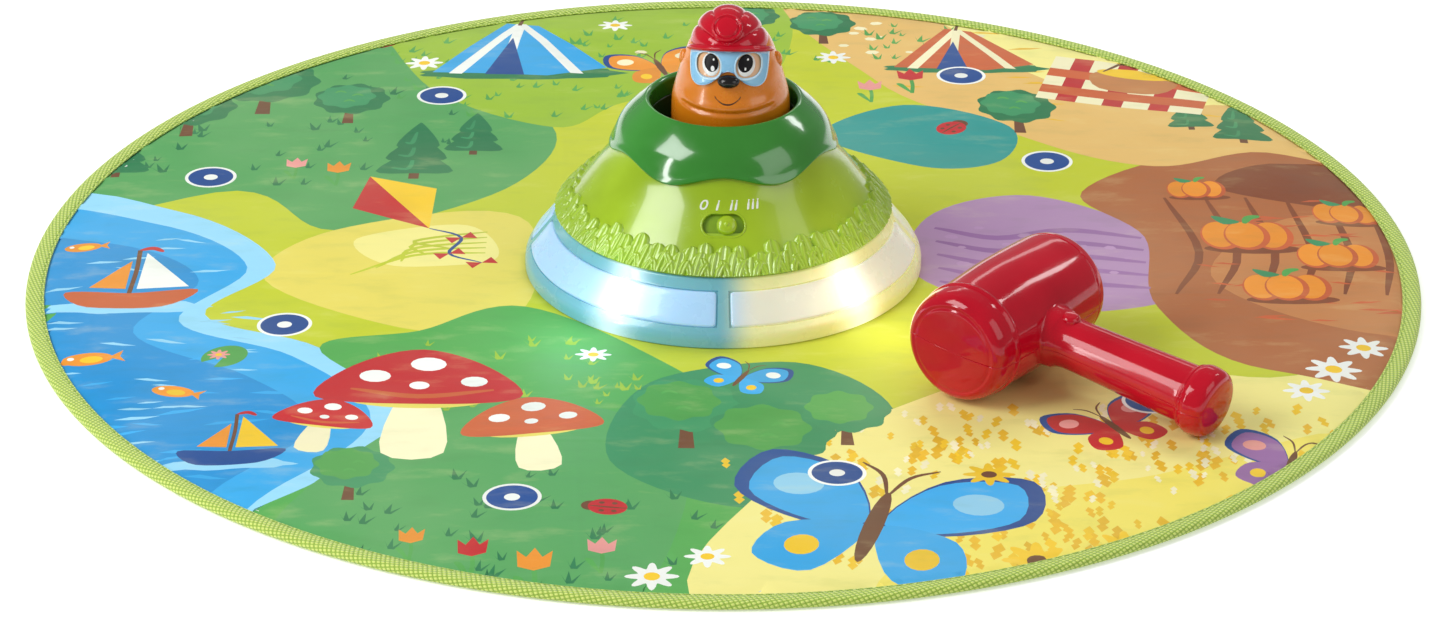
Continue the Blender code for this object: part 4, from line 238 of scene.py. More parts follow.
plastic("white_plastic", (0.78, 0.78, 0.75), 0.42, 0, 0.25)
plastic("lime_plastic", (0.36, 0.53, 0.008), 0.2, 0.45)
# painted shade: a darker copy of the lime for the slider deep in the slot
plastic("slot_shade_green", (0.23, 0.39, 0.008), 0.3, 0.2)
plastic("grass_plastic", (0.37, 0.56, 0.03), 0.2, 0.55)
plastic("green_plastic", (0.035, 0.26, 0.022), 0.14, 0.7)
# dark green plastic, painted darker still as shade deep in the hill's opening
plastic("dark_green_plastic", (0.006, 0.05, 0.008), 0.35, 0.1)
plastic("peach_plastic", (0.75, 0.42, 0.22), 0.3, 0.3)
plastic("orange_plastic", (0.77, 0.22, 0.006), 0.22, 0.35, Subsurface_Weight=0.08, Subsurface_Scale=0.004)
plastic("red_plastic", (0.53, 0, 0.014), 0.11, 0.55, Specular_IOR_Level=0.15)
plastic("blue_plastic", (0.26, 0.55, 0.8), 0.25, 0.4)
# painted highlight: a paler copy of the blue for the goggles' rounded edges
plastic("blue_edge_highlight", (0.5, 0.74, 0.9), 0.25, 0.4)
plastic("eye_white", (0.86, 0.86, 0.84), 0.15, 0.7)
plastic("black_plastic", (0.007, 0.006, 0.006), 0.16, 0.25, Specular_IOR_Level=0.3)
plastic("pupil_print", (0.006, 0.005, 0.006), 0.3, 0, 0.1, Specular_IOR_Level=0.15)
plastic("mark_paint", (0.88, 0.9, 0.8), 0.4, 0, 0.2)
plastic("smile_paint", (0.045, 0.012, 0.004), 0.4, 0, 0.2)
plastic("film", (0.7, 0.74, 0.66), 0.3, 0)
plastic("foam", (0.8, 0.8, 0.74), 0.85, 0, 0.8, 4)
plastic("circuit_board", (0.015, 0.14, 0.04), 0.35, 0.2, 0.3)
plastic("cell_wrap", (0.04, 0.06, 0.22), 0.3, 0.3)
plastic("paper_cone", (0.03, 0.03, 0.032), 0.85, 0, 0.8, 3)
print(len(materials), "plastics")


# %% Steel
def steel(f):
    """Brushed sheet: fine streaks along one axis turn the gloss on and off."""
    streak = f.noise(60, 4, 0.7, (1, 1, 40))
    shade = streak.mix((0.42, 0.42, 0.44), (0.66, 0.66, 0.67))
    return shade, streak.ramp(0.2, 0.8, 0.2, 0.42), f.bump(streak, 0.15, 0.0003)


material("steel", steel, Metallic=1.0)

# %% The light ring and its windows
LAMP_AZIMUTHS = (-124, -47, 47, 130)


def lit(low, high, body):
    """Milky plastic lit from inside: blue left of the middle, warm right of it, white near each lamp."""

    def recipe(f):
        x, y = f.xy()
        side = x.ramp(-0.004, 0.02)
        azimuth = f.math("ARCTAN2", y, x)
        near = 0
        for degrees in LAMP_AZIMUTHS:
            near = abs(azimuth - radians(degrees)).ramp(0, 0.31, 1, 0) + near
        cloudy = f.noise(45, 4, 0.6)
        glow = (near * near * near * (0.8 + cloudy * 0.3)).mix(side.mix(low, high), (3.2, 3.2, 3.1))
        return side.mix(*body), cloudy.ramp(0.3, 0.7, 0.22, 0.34), f.bump(f.noise(300, 2), 0.04, 0.0004), glow

    return recipe


# painted lamp light: the ring and its windows are tinted blue left of the middle and warm right of it, and glow white
# near each lamp
body = ((0.17, 0.42, 0.47), (0.82, 0.8, 0.4))
pane = ((0.36, 0.56, 0.76), (0.68, 0.69, 0.58))
milky = {"Subsurface Weight": 0.25, "Subsurface Scale": 0.006, "Coat Weight": 0.3}
material("milky_plastic", lit((0.12, 0.36, 0.5), (0.85, 0.78, 0.3), body), Emission_Strength=0.19, **milky)
material("window_plastic", lit((0.4, 0.66, 0.95), (0.86, 0.82, 0.6), pane), Emission_Strength=0.26, **milky)


# %% Cloth
def weave(across, along, size):
    """The height of a plain weave: two rows of rounded yarns that take turns on top."""
    return across.sine(size) * along.sine(size)


def printed(f):
    """Printed coated cloth: the picture's colours with soft dabs of paint, a fine weave and old fold lines."""
    picture = f.node("ShaderNodeAttribute", {"attribute_name": "picture"}, output="Color")
    dab = f.noise(24, 5, 0.6, (1, 2.6, 1))
    light = dab.ramp(0.52, 0.74, 0, 0.12).mix(picture, (0.95, 0.9, 0.45))
    shade = dab.ramp(0.5, 0.3, 0, 0.3).mix(light, f.math("MULTIPLY", picture, (0.72, 0.8, 0.7)))
    x, y = f.xy()
    folds = 0
    for slope, apart, start in ((0.05, 0.2, 0.03), (20.0, 0.27, 0.09)):
        line = (x * slope + y) / hypot(slope, 1)
        folds = abs(f.math("WRAP", line + start, apart / 2, -apart / 2)).ramp(0, 0.0035, 1, 0) + folds
    cells = {"Vector": f.place() + f.noise(9, 2) * 0.05, "Scale": 11}
    crumple = f.node("ShaderNodeTexVoronoi", {"feature": "DISTANCE_TO_EDGE"}, cells).ramp(0, 0.06, 0.2, 0)
    height = weave(x, y, 0.0011) * 0.02 + folds * 0.25 + f.noise(16, 3) * 1.2 + crumple
    washed = f.noise(7, 3).ramp(0.35, 0.65, 0, 0.05).mix(shade, (0.9, 0.95, 0.6))
    return washed, dab.ramp(0.3, 0.7, 0.48, 0.62), f.bump(height, 0.35, 0.0012)


def twill(f):
    """Woven tape: slanting ribs of two rows of yarns, with painted shade between them and painted highlights on their
    tops.
    """
    along, across = f.xy("UV")
    rib = abs((along + across * 0.5).sine(0.0054))
    yarn = abs((across - along * 0.25).sine(0.0042))
    height = rib * 0.1 + yarn * 0.1 + rib * yarn * 0.8
    fuzz = f.noise(500, 3)
    # painted shade and highlight: the colour follows the weave's height, dark in its hollows and light on its tops
    tone = height.ramp(0.2, 0.75) * 0.8 + fuzz * 0.25
    shade = tone.mix((0.24, 0.42, 0.012), (0.74, 0.86, 0.2))
    return shade, fuzz.ramp(0.3, 0.7, 0.5, 0.7), f.bump(height + fuzz * 0.2, 0.8, 0.0006)


def thread(f):
    """Sewing thread: two twisted plies, with painted shade in the grooves between them."""
    x, y = f.xy()
    ply = f.math("SINE", (x + y) * 5000)
    # painted shade: the thread darkens where the ply wave sinks
    shade = ply.ramp(-1, 1).mix((0.13, 0.26, 0.01), (0.3, 0.5, 0.03))
    return shade, ply.ramp(-1, 1, 0.5, 0.7), f.bump(ply, 0.3, 0.0002)


def rubbery(f):
    """Dark coated backing: rows of small non-slip dots on a plain weave."""
    x, y = f.xy()
    dots = weave(x, y, 0.006).ramp(0.45, 0.6)
    tone = dots * 0.7 + f.noise(40, 4) * 0.3
    shade = tone.mix((0.06, 0.065, 0.07), (0.13, 0.14, 0.15))
    return shade, dots.ramp(0, 1, 0.85, 0.6), f.bump(dots + weave(x, y, 0.0009) * 0.1, 0.7, 0.0005)


material("print", printed, Sheen_Weight=0.05, Specular_IOR_Level=0.3)
material("binding", twill, Sheen_Weight=0.3)
material("thread", thread, Sheen_Weight=0.3)
material("backing", rubbery, Sheen_Weight=0.15)
print(len(materials), "materials")

# %% [markdown]
# ## Ways to make a surface
# Three builders cover the object. `surface` joins a grid of points, `spun` turns an outline round Z,
# and `relief` raises a flat drawing, with holes and rounded edges, onto any curved surface.


# %% Outlines
def mm(*numbers):
    """Millimetres, two by two, as points in metres."""
    return np.reshape(numbers, (-1, 2)) / 1000


def around(steps):
    """Azimuths in even steps round a circle."""
    return np.arange(steps) * 2 * pi / steps


def polar(r, azimuth, z):
    """Points from radii, azimuths and heights."""
    return np.stack(np.broadcast_arrays(r * np.cos(azimuth), r * np.sin(azimuth), z), -1)


def moved(points, matrix):
    """Points after a 4 by 4 matrix."""
    matrix = np.array(matrix)
    return np.asarray(points) @ matrix[:3, :3].T + matrix[:3, 3]


def smooth_step(value, low, high):
    """A smooth step from 0 to 1 while the value goes from low to high."""
    share = np.clip((value - low) / (high - low), 0, 1)
    return share * share * (3 - 2 * share)


def hump(value, middle, width):
    """A bell of height 1 about the middle."""
    return np.exp(-(((value - middle) / width) ** 2))


def rounded(points, cut, steps=4, closed=False):
    """An outline whose corners are replaced by quadratic curves that start a cut before each corner."""
    cut = np.broadcast_to(cut, len(points))[:, None]

    def towards(other):
        run = other - points
        return points + run * np.minimum(cut / np.maximum(np.linalg.norm(run, axis=1, keepdims=True), 1e-9), 0.48)

    start, end = towards(np.roll(points, 1, 0)), towards(np.roll(points, -1, 0))
    share = np.linspace(0, 1, steps + 1)[None, :, None]
    curve = (1 - share) ** 2 * start[:, None] + 2 * share * (1 - share) * points[:, None] + share**2 * end[:, None]
    if closed:
        return curve.reshape(-1, 2)
    return np.vstack([points[:1], curve[1:-1].reshape(-1, 2), points[-1:]])


def profile(steps, cuts, *numbers, closed=False):
    """A rounded outline of radius and height, with all its measures in millimetres."""
    return rounded(mm(*numbers), np.array(cuts) / 1000, steps, closed)


def spline(points, steps=6, closed=False):
    """A smooth curve through points: each stretch is a cubic whose slopes come from its neighbours."""
    points = np.asarray(points, float)
    if closed:
        near = [np.roll(points, shift, 0) for shift in (1, 0, -1, -2)]
    else:
        ends = np.vstack([2 * points[0] - points[1], points, 2 * points[-1] - points[-2]])
        near = [ends[shift : len(ends) - 3 + shift] for shift in range(4)]
    a, b, c, d = (part[:, None] for part in near)
    t = (np.arange(steps) / steps)[None, :, None]
    curve = 0.5 * (2 * b + (c - a) * t + (2 * a - 5 * b + 4 * c - d) * t**2 + (3 * b - a - 3 * c + d) * t**3)
    curve = curve.reshape(-1, 2)
    return curve if closed else np.vstack([curve, points[-1:]])


def even(loop, count):
    """A closed outline resampled at even steps along its length, and that length."""
    loop = np.vstack([loop, loop[:1]])
    length = np.concatenate([[0], np.cumsum(np.linalg.norm(np.diff(loop, axis=0), axis=1))])
    where = np.linspace(0, length[-1], count, endpoint=False)
    return np.stack([np.interp(where, length, part) for part in loop.T], 1), length[-1]


def oval(x, y, wide, high, steps=40, power=2.0, lobes=0, deep=0.0, turn=0.0):
    """A closed loop: an oval, squarer with a higher power, with waves round it where lobes are given."""
    t = around(steps)
    scale = 1 + deep * np.cos(lobes * t)
    a = wide * scale * np.sign(np.cos(t)) * np.abs(np.cos(t)) ** (2 / power)
    b = high * scale * np.sign(np.sin(t)) * np.abs(np.sin(t)) ** (2 / power)
    return np.stack([x + a * cos(turn) - b * sin(turn), y + a * sin(turn) + b * cos(turn)], 1)


def box_loop(half_width, half_height, corner, count=0):
    """A rectangle with rounded corners, as a closed loop, with a count of even steps where one is given."""
    loop = rounded(np.array([(-1, -1), (1, -1), (1, 1), (-1, 1)]) * [half_width, half_height], corner, 6, True)
    return even(loop, count)[0] if count else loop


# %% Meshes
def mesh_of(name, points, faces):
    """A mesh from points and the corners of its faces."""
    mesh = bpy.data.meshes.new(name)
    mesh.from_pydata(points, [], faces)
    return mesh


def finished(name, mesh, sharp=38):
    """An object whose doubled points are merged, whose faces point out, and whose soft edges are smooth."""
    bm = bmesh.new()
    bm.from_mesh(mesh)
    bmesh.ops.remove_doubles(bm, verts=bm.verts, dist=2e-7)
    bmesh.ops.dissolve_degenerate(bm, edges=bm.edges, dist=1e-7)
    bmesh.ops.recalc_face_normals(bm, faces=bm.faces)
    bm.to_mesh(mesh)
    bm.free()
    mesh.shade_smooth()
    mesh.set_sharp_from_angle(angle=radians(sharp))
    return placed(name, mesh)


def merged(name, *parts):
    """Several pieces as one."""
    bm = bmesh.new()
    for part in parts:
        bm.from_mesh(part.data)
        bpy.data.objects.remove(part)
    mesh = bpy.data.meshes.new(name)
    bm.to_mesh(mesh)
    bm.free()
    return placed(name, mesh)


def surface(name, points, tube=False, size=(1, 1), sharp=38):
    """A grid of rows by columns of points. Its last column joins its first, and in a tube its last row too.

    Size is the length along a row and across the rows that the UV map spans, in metres.
    """
    rows, columns = points.shape[:2]
    row, column = np.arange(rows + tube), np.arange(columns + 1)
    index = (row % rows)[:, None] * columns + column % columns
    places = np.stack(np.broadcast_arrays(column / columns * size[0], (row / row[-1] * size[1])[:, None]), axis=-1)

    def corners(grid):
        return np.stack([grid[:-1, :-1], grid[:-1, 1:], grid[1:, 1:], grid[1:, :-1]], axis=2)

    mesh = mesh_of(name, points.reshape(-1, 3), corners(index).reshape(-1, 4).tolist())
    mesh.uv_layers.new(name="UVMap").data.foreach_set("uv", corners(places).ravel())
    return finished(name, mesh, sharp)


def turn_outline(outline, steps):
    """Points of an outline of radius and height, turned round Z in even steps."""
    return polar(outline[:, :1], around(steps), outline[:, 1:])


def spun(name, outline, steps=128, tube=False, matrix=Matrix()):
    """An outline turned round Z. A tube outline is a closed loop, and any other starts and ends on the axis."""
    return surface(name, moved(turn_outline(outline, steps), matrix), tube=tube)


def sphere(turns, rings):
    """The points and faces of a ball of radius 1."""
    bm = bmesh.new()
    bmesh.ops.create_uvsphere(bm, u_segments=turns, v_segments=rings, radius=1)
    points = np.array([vert.co[:] for vert in bm.verts])
    faces = [[vert.index for vert in face.verts] for face in bm.faces]
    bm.free()
    return points, faces


def inside(points, loops):
    """Which points a ray to the right leads out of an odd number of loops."""
    crossings = np.zeros(len(points), int)
    x, y = points[:, :1], points[:, 1:2]
    for a in loops:
        b = np.roll(a, -1, 0)
        spans = (a[:, 1] > y) != (b[:, 1] > y)
        rise = np.where(b[:, 1] == a[:, 1], 1, b[:, 1] - a[:, 1])
        crossings += (spans & (x < a[:, 0] + (y - a[:, 1]) * (b[:, 0] - a[:, 0]) / rise)).sum(axis=1)
    return crossings % 2 == 1


def to_border(points, loops):
    """The distance from each point to the nearest edge of the loops."""
    nearest = np.full(len(points), np.inf)
    for a in loops:
        run, from_a = np.roll(a, -1, 0) - a, points[:, None] - a
        share = np.clip((from_a * run).sum(-1) / np.maximum((run**2).sum(-1), 1e-18), 0, 1)
        nearest = np.minimum(nearest, np.linalg.norm(from_a - share[..., None] * run, axis=-1).min(axis=1))
    return nearest


def triangulated(loops, extra, near):
    """Points and triangles over closed loops, all of whose edges are kept, and over extra points, in millimetres."""
    sizes = [len(loop) for loop in loops]
    first = np.repeat(np.cumsum([0, *sizes[:-1]]), sizes)
    after = (np.arange(len(first)) - first + 1) % np.repeat(sizes, sizes)
    edges = np.stack([np.arange(len(first)), first + after], 1).tolist()
    points = [Vector(point) for point in np.vstack([*loops, *extra])]
    flat, _, faces = delaunay_2d_cdt(points, edges, [], 0, near, False)[:3]
    return np.array([point[:] for point in flat]) / 1000, np.array(faces)


def relief(name, loops, warp, top, edge, depth=0.4, spacing=2.0):
    """A flat drawing raised off a surface: its height climbs a quarter circle from each edge to the top.

    Warp takes x, y and the height as arrays and gives points in space. The back lies at minus the depth.
    The top, the width of the edge, the depth and the spacing of the grid are in millimetres.
    """
    top, edge, depth, spacing = np.array([top, edge, depth, spacing]) / 1000
    rims = []
    for loop in loops:
        run = np.roll(loop, -1, 0) - np.roll(loop, 1, 0)
        normal = np.stack([-run[:, 1], run[:, 0]], 1) / np.maximum(np.linalg.norm(run, axis=1), 1e-12)[:, None]
        if inside(loop + normal * edge * 0.05, loops).mean() < 0.5:
            normal = -normal
        rims += [loop + normal * edge * share for share in (0.12, 0.35, 0.65, 1.0)]
    low, high = loops[0].min(0), loops[0].max(0)
    grid = np.stack(np.meshgrid(*(np.arange(low[axis], high[axis], spacing) for axis in (0, 1))), -1).reshape(-1, 2)
    extra = np.vstack([*rims, grid[to_border(grid, loops) > edge + spacing / 3]])
    extra = extra[inside(extra, loops) & (to_border(extra, loops) > edge * 0.08)]
    flat, faces = triangulated([loop * 1000 for loop in loops], [extra * 1000], 1e-6)
    used, faces = np.unique(faces[inside(flat[faces].mean(axis=1), loops)], return_inverse=True)
    flat, faces = flat[used], faces.reshape(-1, 3)
    climb = np.clip(to_border(flat, loops) / edge, 0, 1)
    height = top * np.sqrt(1 - (1 - climb) ** 2)
    return closed_plate(name, warp(*flat.T, height), warp(*flat.T, 0 * height - depth), faces)


def closed_plate(name, front, back, faces, tints=None):
    """Front and back points with the same triangles, and quads between their borders. Tints: a colour a triangle."""
    count = len(front)
    sides = np.concatenate([faces[:, [0, 1]], faces[:, [1, 2]], faces[:, [2, 0]]])
    _, first, times = np.unique(np.sort(sides, axis=1), axis=0, return_index=True, return_counts=True)
    border = sides[first[times == 1]]
    walls = np.stack([border[:, 1], border[:, 0], border[:, 0] + count, border[:, 1] + count], 1)
    corners = [*faces.tolist(), *(faces[:, ::-1] + count).tolist(), *walls.tolist()]
    mesh = mesh_of(name, np.vstack([front, back]), corners)
    if tints is not None:
        colours = np.ones((len(faces) * 6 + len(walls) * 4, 4))
        colours[:, :3] = 0.7
        colours[: len(faces) * 3, :3] = np.repeat(tints, 3, axis=0)
        mesh.color_attributes.new("picture", "FLOAT_COLOR", "CORNER").data.foreach_set("color", colours.ravel())
    return finished(name, mesh)


stands = {}


def ready(piece, body, finish, *nodes, slot=None):
    """The piece gets its material, stands for its CAD nodes and rides on its body. The slot argument is not used."""
    piece.data.materials.clear()
    piece.data.materials.append(materials[finish])
    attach(piece, body)
    if nodes:
        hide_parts(*nodes)
    stands[piece.name] = len(piece.data.polygons)
    return piece


# %% [markdown]
# ## The floor
# A wide white plane lies under the mat and takes its shadows. It is scenery, and no part of the toy.


# %% Floor
def floor_paint(f):
    """Camera, glossy and transmitted rays see the floor close to white, with its shadows."""
    rays = [f.node("ShaderNodeLightPath", output=f"Is {ray} Ray") for ray in ("Camera", "Glossy", "Transmission")]
    seen = f.math("MAXIMUM", rays[0], f.math("MAXIMUM", *rays[1:]))
    grain = f.noise(3, 2).ramp(0.3, 0.7, 0.985, 1)
    return (grain * seen).mix((0.7, 0.7, 0.7), (1, 1, 1)), grain * 0.9


corners = np.array([(-9, -9, 0), (9, -9, 0), (9, 9, 0), (-9, 9, 0)])
floor = placed("floor", mesh_of("floor", corners, [(0, 1, 2, 3)]))
floor.location.z = -0.0006
floor.data.materials.append(material("floor", floor_paint, Emission_Color=(1, 1, 1, 1), Emission_Strength=0.3))

# %% [markdown]
# ## The mat
# Four layers lie under a woven binding: backing, foam, touch film and the printed sheet.
# They share one gentle swell, as a mat has that was unrolled a while ago.

# %% Swell and layers
MALLET_X, MALLET_Y = 0.1556, -0.1385


def swell(x, y):
    """How far the mat stands off the floor: long sine waves that die out at its rims and under the mallet."""
    r = np.hypot(x, y)
    fade = smooth_step(r, 0.118, 0.17) * (1 - smooth_step(r, 0.35, 0.388))
    fade = fade * smooth_step(np.hypot(x - MALLET_X, y - MALLET_Y), 0.1, 0.19)
    wave = np.sin(21 * x + 8 * y + 0.6) * np.cos(17 * y - 6 * x) + np.sin(35 * x - 19 * y) * 0.4
    return fade * 0.0011 * (1.4 + wave)


def layer(name, finish, node, thick, *under):
    """A ring of sheet on the swell, from the radii and heights of its underside and its thickness."""
    under = mm(*under)
    loop = np.vstack([under, under[::-1] + [0, thick / 1000]])
    stretches = zip(loop, np.roll(loop, -1, 0))
    dense = [np.linspace(a, b, max(2, int(abs(b[0] - a[0]) / 0.012)), endpoint=False) for a, b in stretches]
    points = turn_outline(np.vstack(dense), 180)
    points[..., 2] += swell(points[..., 0], points[..., 1])
    return ready(surface(name, points, tube=True), "console", finish, node)


backing = layer("backing_cloth", "backing", "mat_backing", 0.8, 108.6, 0, 386.4, 0, 388.6, 1.1, 395.7, 1.1)
layer("foam_sheet", "foam", "mat_foam", 1.5, 111.1, 1.1, 386.1, 1.1)
layer("touch_film", "film", "mat_touch_film", 0.3, 111.1, 2.9, 386.1, 2.9)

# %% [markdown]
# ## The picture on the mat
# A drawing of flat shapes, painted one over another: fields of colour first, then small things in them.
# All outlines go through one constrained triangulation, and each triangle takes the last shape over it.

# %% Colours and brushes
PALETTE = {
    "lime": (0.54, 0.6, 0.025), "meadow": (0.1, 0.37, 0.11), "grass": (0.33, 0.52, 0.035), "deep": (0.025, 0.2, 0.075),
    "bush": (0.05, 0.3, 0.12), "leaf": (0.09, 0.38, 0.08), "teal": (0.03, 0.33, 0.3), "straw": (0.86, 0.74, 0.13),
    "wheat": (0.84, 0.5, 0.02), "pale": (0.9, 0.82, 0.27), "cream": (0.93, 0.87, 0.55), "sand": (0.86, 0.55, 0.17),
    "clay": (0.42, 0.14, 0.045), "soil": (0.25, 0.07, 0.025), "earth": (0.55, 0.22, 0.07), "bark": (0.16, 0.06, 0.025),
    "sky": (0.035, 0.4, 0.8), "water": (0.015, 0.3, 0.68), "foamy": (0.3, 0.66, 0.88), "navy": (0.012, 0.07, 0.28),
    "lilac": (0.48, 0.28, 0.5), "violet": (0.33, 0.15, 0.38), "red": (0.55, 0.02, 0.025), "rust": (0.6, 0.12, 0.035),
    "orange": (0.85, 0.3, 0.025), "pink": (0.82, 0.33, 0.3), "white": (0.9, 0.92, 0.86), "gold": (0.9, 0.58, 0.02),
}
SHAPES = []


def paint(colour, loop):
    """Adds a closed loop in millimetres, over what is painted already."""
    SHAPES.append((PALETTE[colour], np.asarray(loop, float)))


def pairs(numbers):
    """A row of numbers as points of x and y."""
    return np.reshape(np.array(numbers, float), (-1, 2))


def field(colour, *numbers):
    """A patch of ground with a smooth outline."""
    paint(colour, spline(pairs(numbers), 9, True))


def stroke(colour, points, width, taper=True):
    """A brush stroke along a smooth curve, wide in its middle where it tapers."""
    line = spline(points, 5)
    run = np.gradient(line, axis=0)
    side = np.stack([-run[:, 1], run[:, 0]], 1) / np.linalg.norm(run, axis=1)[:, None]
    share = np.linspace(0, 1, len(line))[:, None]
    half = width / 2 * (np.sqrt(np.sin(pi * (0.04 + 0.92 * share))) if taper else 1)
    paint(colour, np.vstack([line + side * half, (line - side * half)[::-1]]))


def at(x, y, size, turn=0.0):
    """A function that places local points: it turns, scales and moves them."""
    turned = np.array([[cos(turn), sin(turn)], [-sin(turn), cos(turn)]])
    return lambda points: np.asarray(points, float) @ turned * size + [x, y]


# %% Small things to paint
def wing(side):
    """One side of a butterfly."""
    upper = pairs((2, 0, 16, 34, 44, 42, 50, 14, 24, -3)) * [side, 1]
    lower = pairs((2, -2, 30, -6, 36, -30, 14, -36)) * [side, 1]
    return [
        ("soft", "navy", 5, *(upper * 1.07).ravel()),
        ("soft", 0, 5, *(upper * 0.94 + [side, 1]).ravel()),
        ("soft", 0, 5, *lower.ravel()),
        ("oval", 1, side * 32, 22, 9, 8, 20),
        ("oval", "gold", side * 21, -20, 6, 7, 16),
        ("line", "bark", 1.8, 0, 20, side * 5, 36, side * 14, 44),
    ]


# Each row: a tool, a colour or its number among those given, the steps or the width of a curve, and points in
# hundredths of the size. An oval has its centre, half sizes, steps, and waves.
MOTIFS = {
    "tree": [
        ("cut", "bark", -5, -50, 6, -50, 3, 0, -3, 0),
        ("oval", 1, 0, 12, 36, 38, 54, 9, 0.06),
        ("oval", 0, -5, 18, 27, 28, 48, 8, 0.07),
        *[("line", "leaf", 3.5, x - 5, y, x, y + 4, x + 6, y) for x, y in ((-12, 28), (5, 20), (-2, 5))],
    ],
    "conifer": [
        ("cut", "bark", -4, -50, 4, -50, 4, -20, -4, -20),
        *[row for low, wide in ((-36, 30), (-12, 24), (12, 17)) for row in (
            ("soft", 0, 4, -wide, low, 0, low - 4, wide, low, 3, low + 40, -3, low + 40),
            ("line", 1, 4, -wide * 0.6, low + 6, -5, low + 5, -2, low + 26))],
    ],
    "toadstool": [
        ("soft", "cream", 4, -13, -50, 14, -50, 8, 0, -8, 0),
        ("oval", "straw", 0, -2, 30, 7, 24),
        ("soft", 0, 6, -45, 0, -30, 30, 0, 46, 30, 30, 45, 0, 0, -5),
        ("line", "rust", 4, -30, 8, 0, 2, 33, 8),
        *[("oval", "white", x, y, r, r * 0.8, 14)
          for x, y, r in ((-20, 20, 7), (3, 32, 8), (24, 16, 6), (0, 12, 4.5))],
    ],
    "tulip": [
        ("rod", "leaf", 6, 0, -50, 2, -20, 0, 10),
        ("soft", "leaf", 4, 0, -50, -22, -15, -12, -15),
        ("cut", 0, -18, 8, -20, 40, -9, 27, 0, 46, 9, 27, 20, 40, 18, 8, 0, 0),
    ],
    "daisy": [("oval", 0, 0, 0, 36, 34, 64, 8, 0.3), ("oval", 1, 0, 0, 14, 13, 14)],
    "butterfly": [*wing(-1), *wing(1), ("oval", "bark", 0, -2, 3.5, 25, 20)],
    "boat": [
        ("oval", "foamy", 0, -30, 50, 9, 30, 7, 0.08),
        ("soft", 0, 5, -40, -8, -24, -30, 22, -30, 42, -6, 0, -12),
        ("rod", "bark", 3, 0, -12, 1, 20, 0, 50),
        ("cut", 1, 4, -6, 36, -2, 5, 46),
        ("cut", "orange", -3, -6, -26, -3, -3, 34),
        ("line", "red", 5, 0, 50, 8, 53, 15, 48),
    ],
    "fish": [
        ("cut", "orange", 30, 0, 52, 17, 46, 0, 52, -17),
        ("oval", "orange", 0, 0, 36, 19, 26),
        ("oval", "gold", 6, -2, 16, 10, 18),
        ("oval", "white", -22, 5, 5, 5, 12),
    ],
    "tent": [
        ("oval", "deep", 4, -42, 62, 10, 30, 9, 0.06),
        ("cut", 0, -50, -40, -8, 40, 12, 34, 56, -34, 20, -46),
        *[("cut", 1, low, -42, low + wide, -43, 4, 38, -2, 39) for low, wide in ((-40, 8), (-10, 7), (34, 8))],
        ("cut", "navy", -18, -44, 6, -45, -3, 12),
        ("rod", "bark", 2.5, 0, 36, 2, 50, 2, 60),
        ("cut", "red", 2, 62, 20, 56, 2, 50),
    ],
    "kite": [
        ("cut", 0, 0, 50, -30, 12, 0, -40),
        ("cut", 1, 0, 50, 30, 12, 0, -40),
        ("line", "navy", 2.5, 0, -40, 12, -62, -5, -80, 8, -100),
        *[("cut", 0, x - 9, y + 5, x + 9, y - 5, x + 9, y + 5, x - 9, y - 5)
          for x, y in ((12, -62), (-5, -80), (8, -100))],
    ],
    "pumpkin": [
        ("oval", "soil", 3, -30, 46, 10, 24),
        *[row for x, wide in ((-24, 18), (24, 18), (0, 20)) for row in (
            ("oval", "rust", x, -2, wide + 2, 30, 26), ("oval", "orange", x - 2, 0, wide - 2, 27, 26))],
        ("line", "leaf", 9, 0, 24, 5, 36, 16, 40),
        ("soft", "bush", 4, -4, 28, -30, 40, -20, 22),
    ],
    "cloth": [
        ("cut", "cream", -50, -34, 50, -34, 50, 34, -50, 34),
        *[("cut", "red", x, -34, x + 12, -34, x + 12, 34, x, 34) for x in (-38, -10, 18)],
        *[("cut", "rust", -50, y, 50, y, 50, y + 12, -50, y + 12) for y in (-24, 2)],
        ("soft", "earth", 4, -16, -8, 20, -8, 26, 16, -22, 16),
        ("oval", "gold", 2, 18, 24, 7, 24),
        ("line", "bark", 3.5, -18, 18, 2, 48, 22, 18),
    ],
    "ladybird": [
        ("oval", "bark", 34, 0, 20, 20, 16),
        ("oval", "red", 0, 0, 40, 33, 24),
        ("line", "bark", 5, -40, 0, 0, 1, 36, 0),
        *[("oval", "bark", x, y, 6, 5, 10) for x, y in ((-15, 15), (10, 17), (-12, -16), (14, -15))],
    ],
    "spot": [
        ("oval", "white", 0, 0, 15.5, 15, 36),
        ("oval", "navy", 0, 0, 13.5, 13, 36),
        ("oval", "white", 0, 0, 4.2, 4, 20),
    ],
}


def draw(kind, colours, *places):
    """Paints a motif in its colours at places of x, y, size and turn.

    A cut has straight sides, a soft shape is a closed curve, and a line tapers to its ends, as a rod doesn't.
    """
    for x, y, size, *turn in places:
        go = at(x, y, size / 100, *turn)
        for tool, colour, *numbers in MOTIFS[kind]:
            colour = colours.split()[colour] if isinstance(colour, int) else colour
            if tool == "cut":
                paint(colour, go(pairs(numbers)))
            elif tool == "soft":
                paint(colour, go(spline(pairs(numbers[1:]), numbers[0], True)))
            elif tool == "oval":
                paint(colour, go(oval(*numbers[:5], 2, *numbers[5:])))
            else:
                stroke(colour, go(pairs(numbers[1:])), numbers[0] * size / 100, tool == "line")


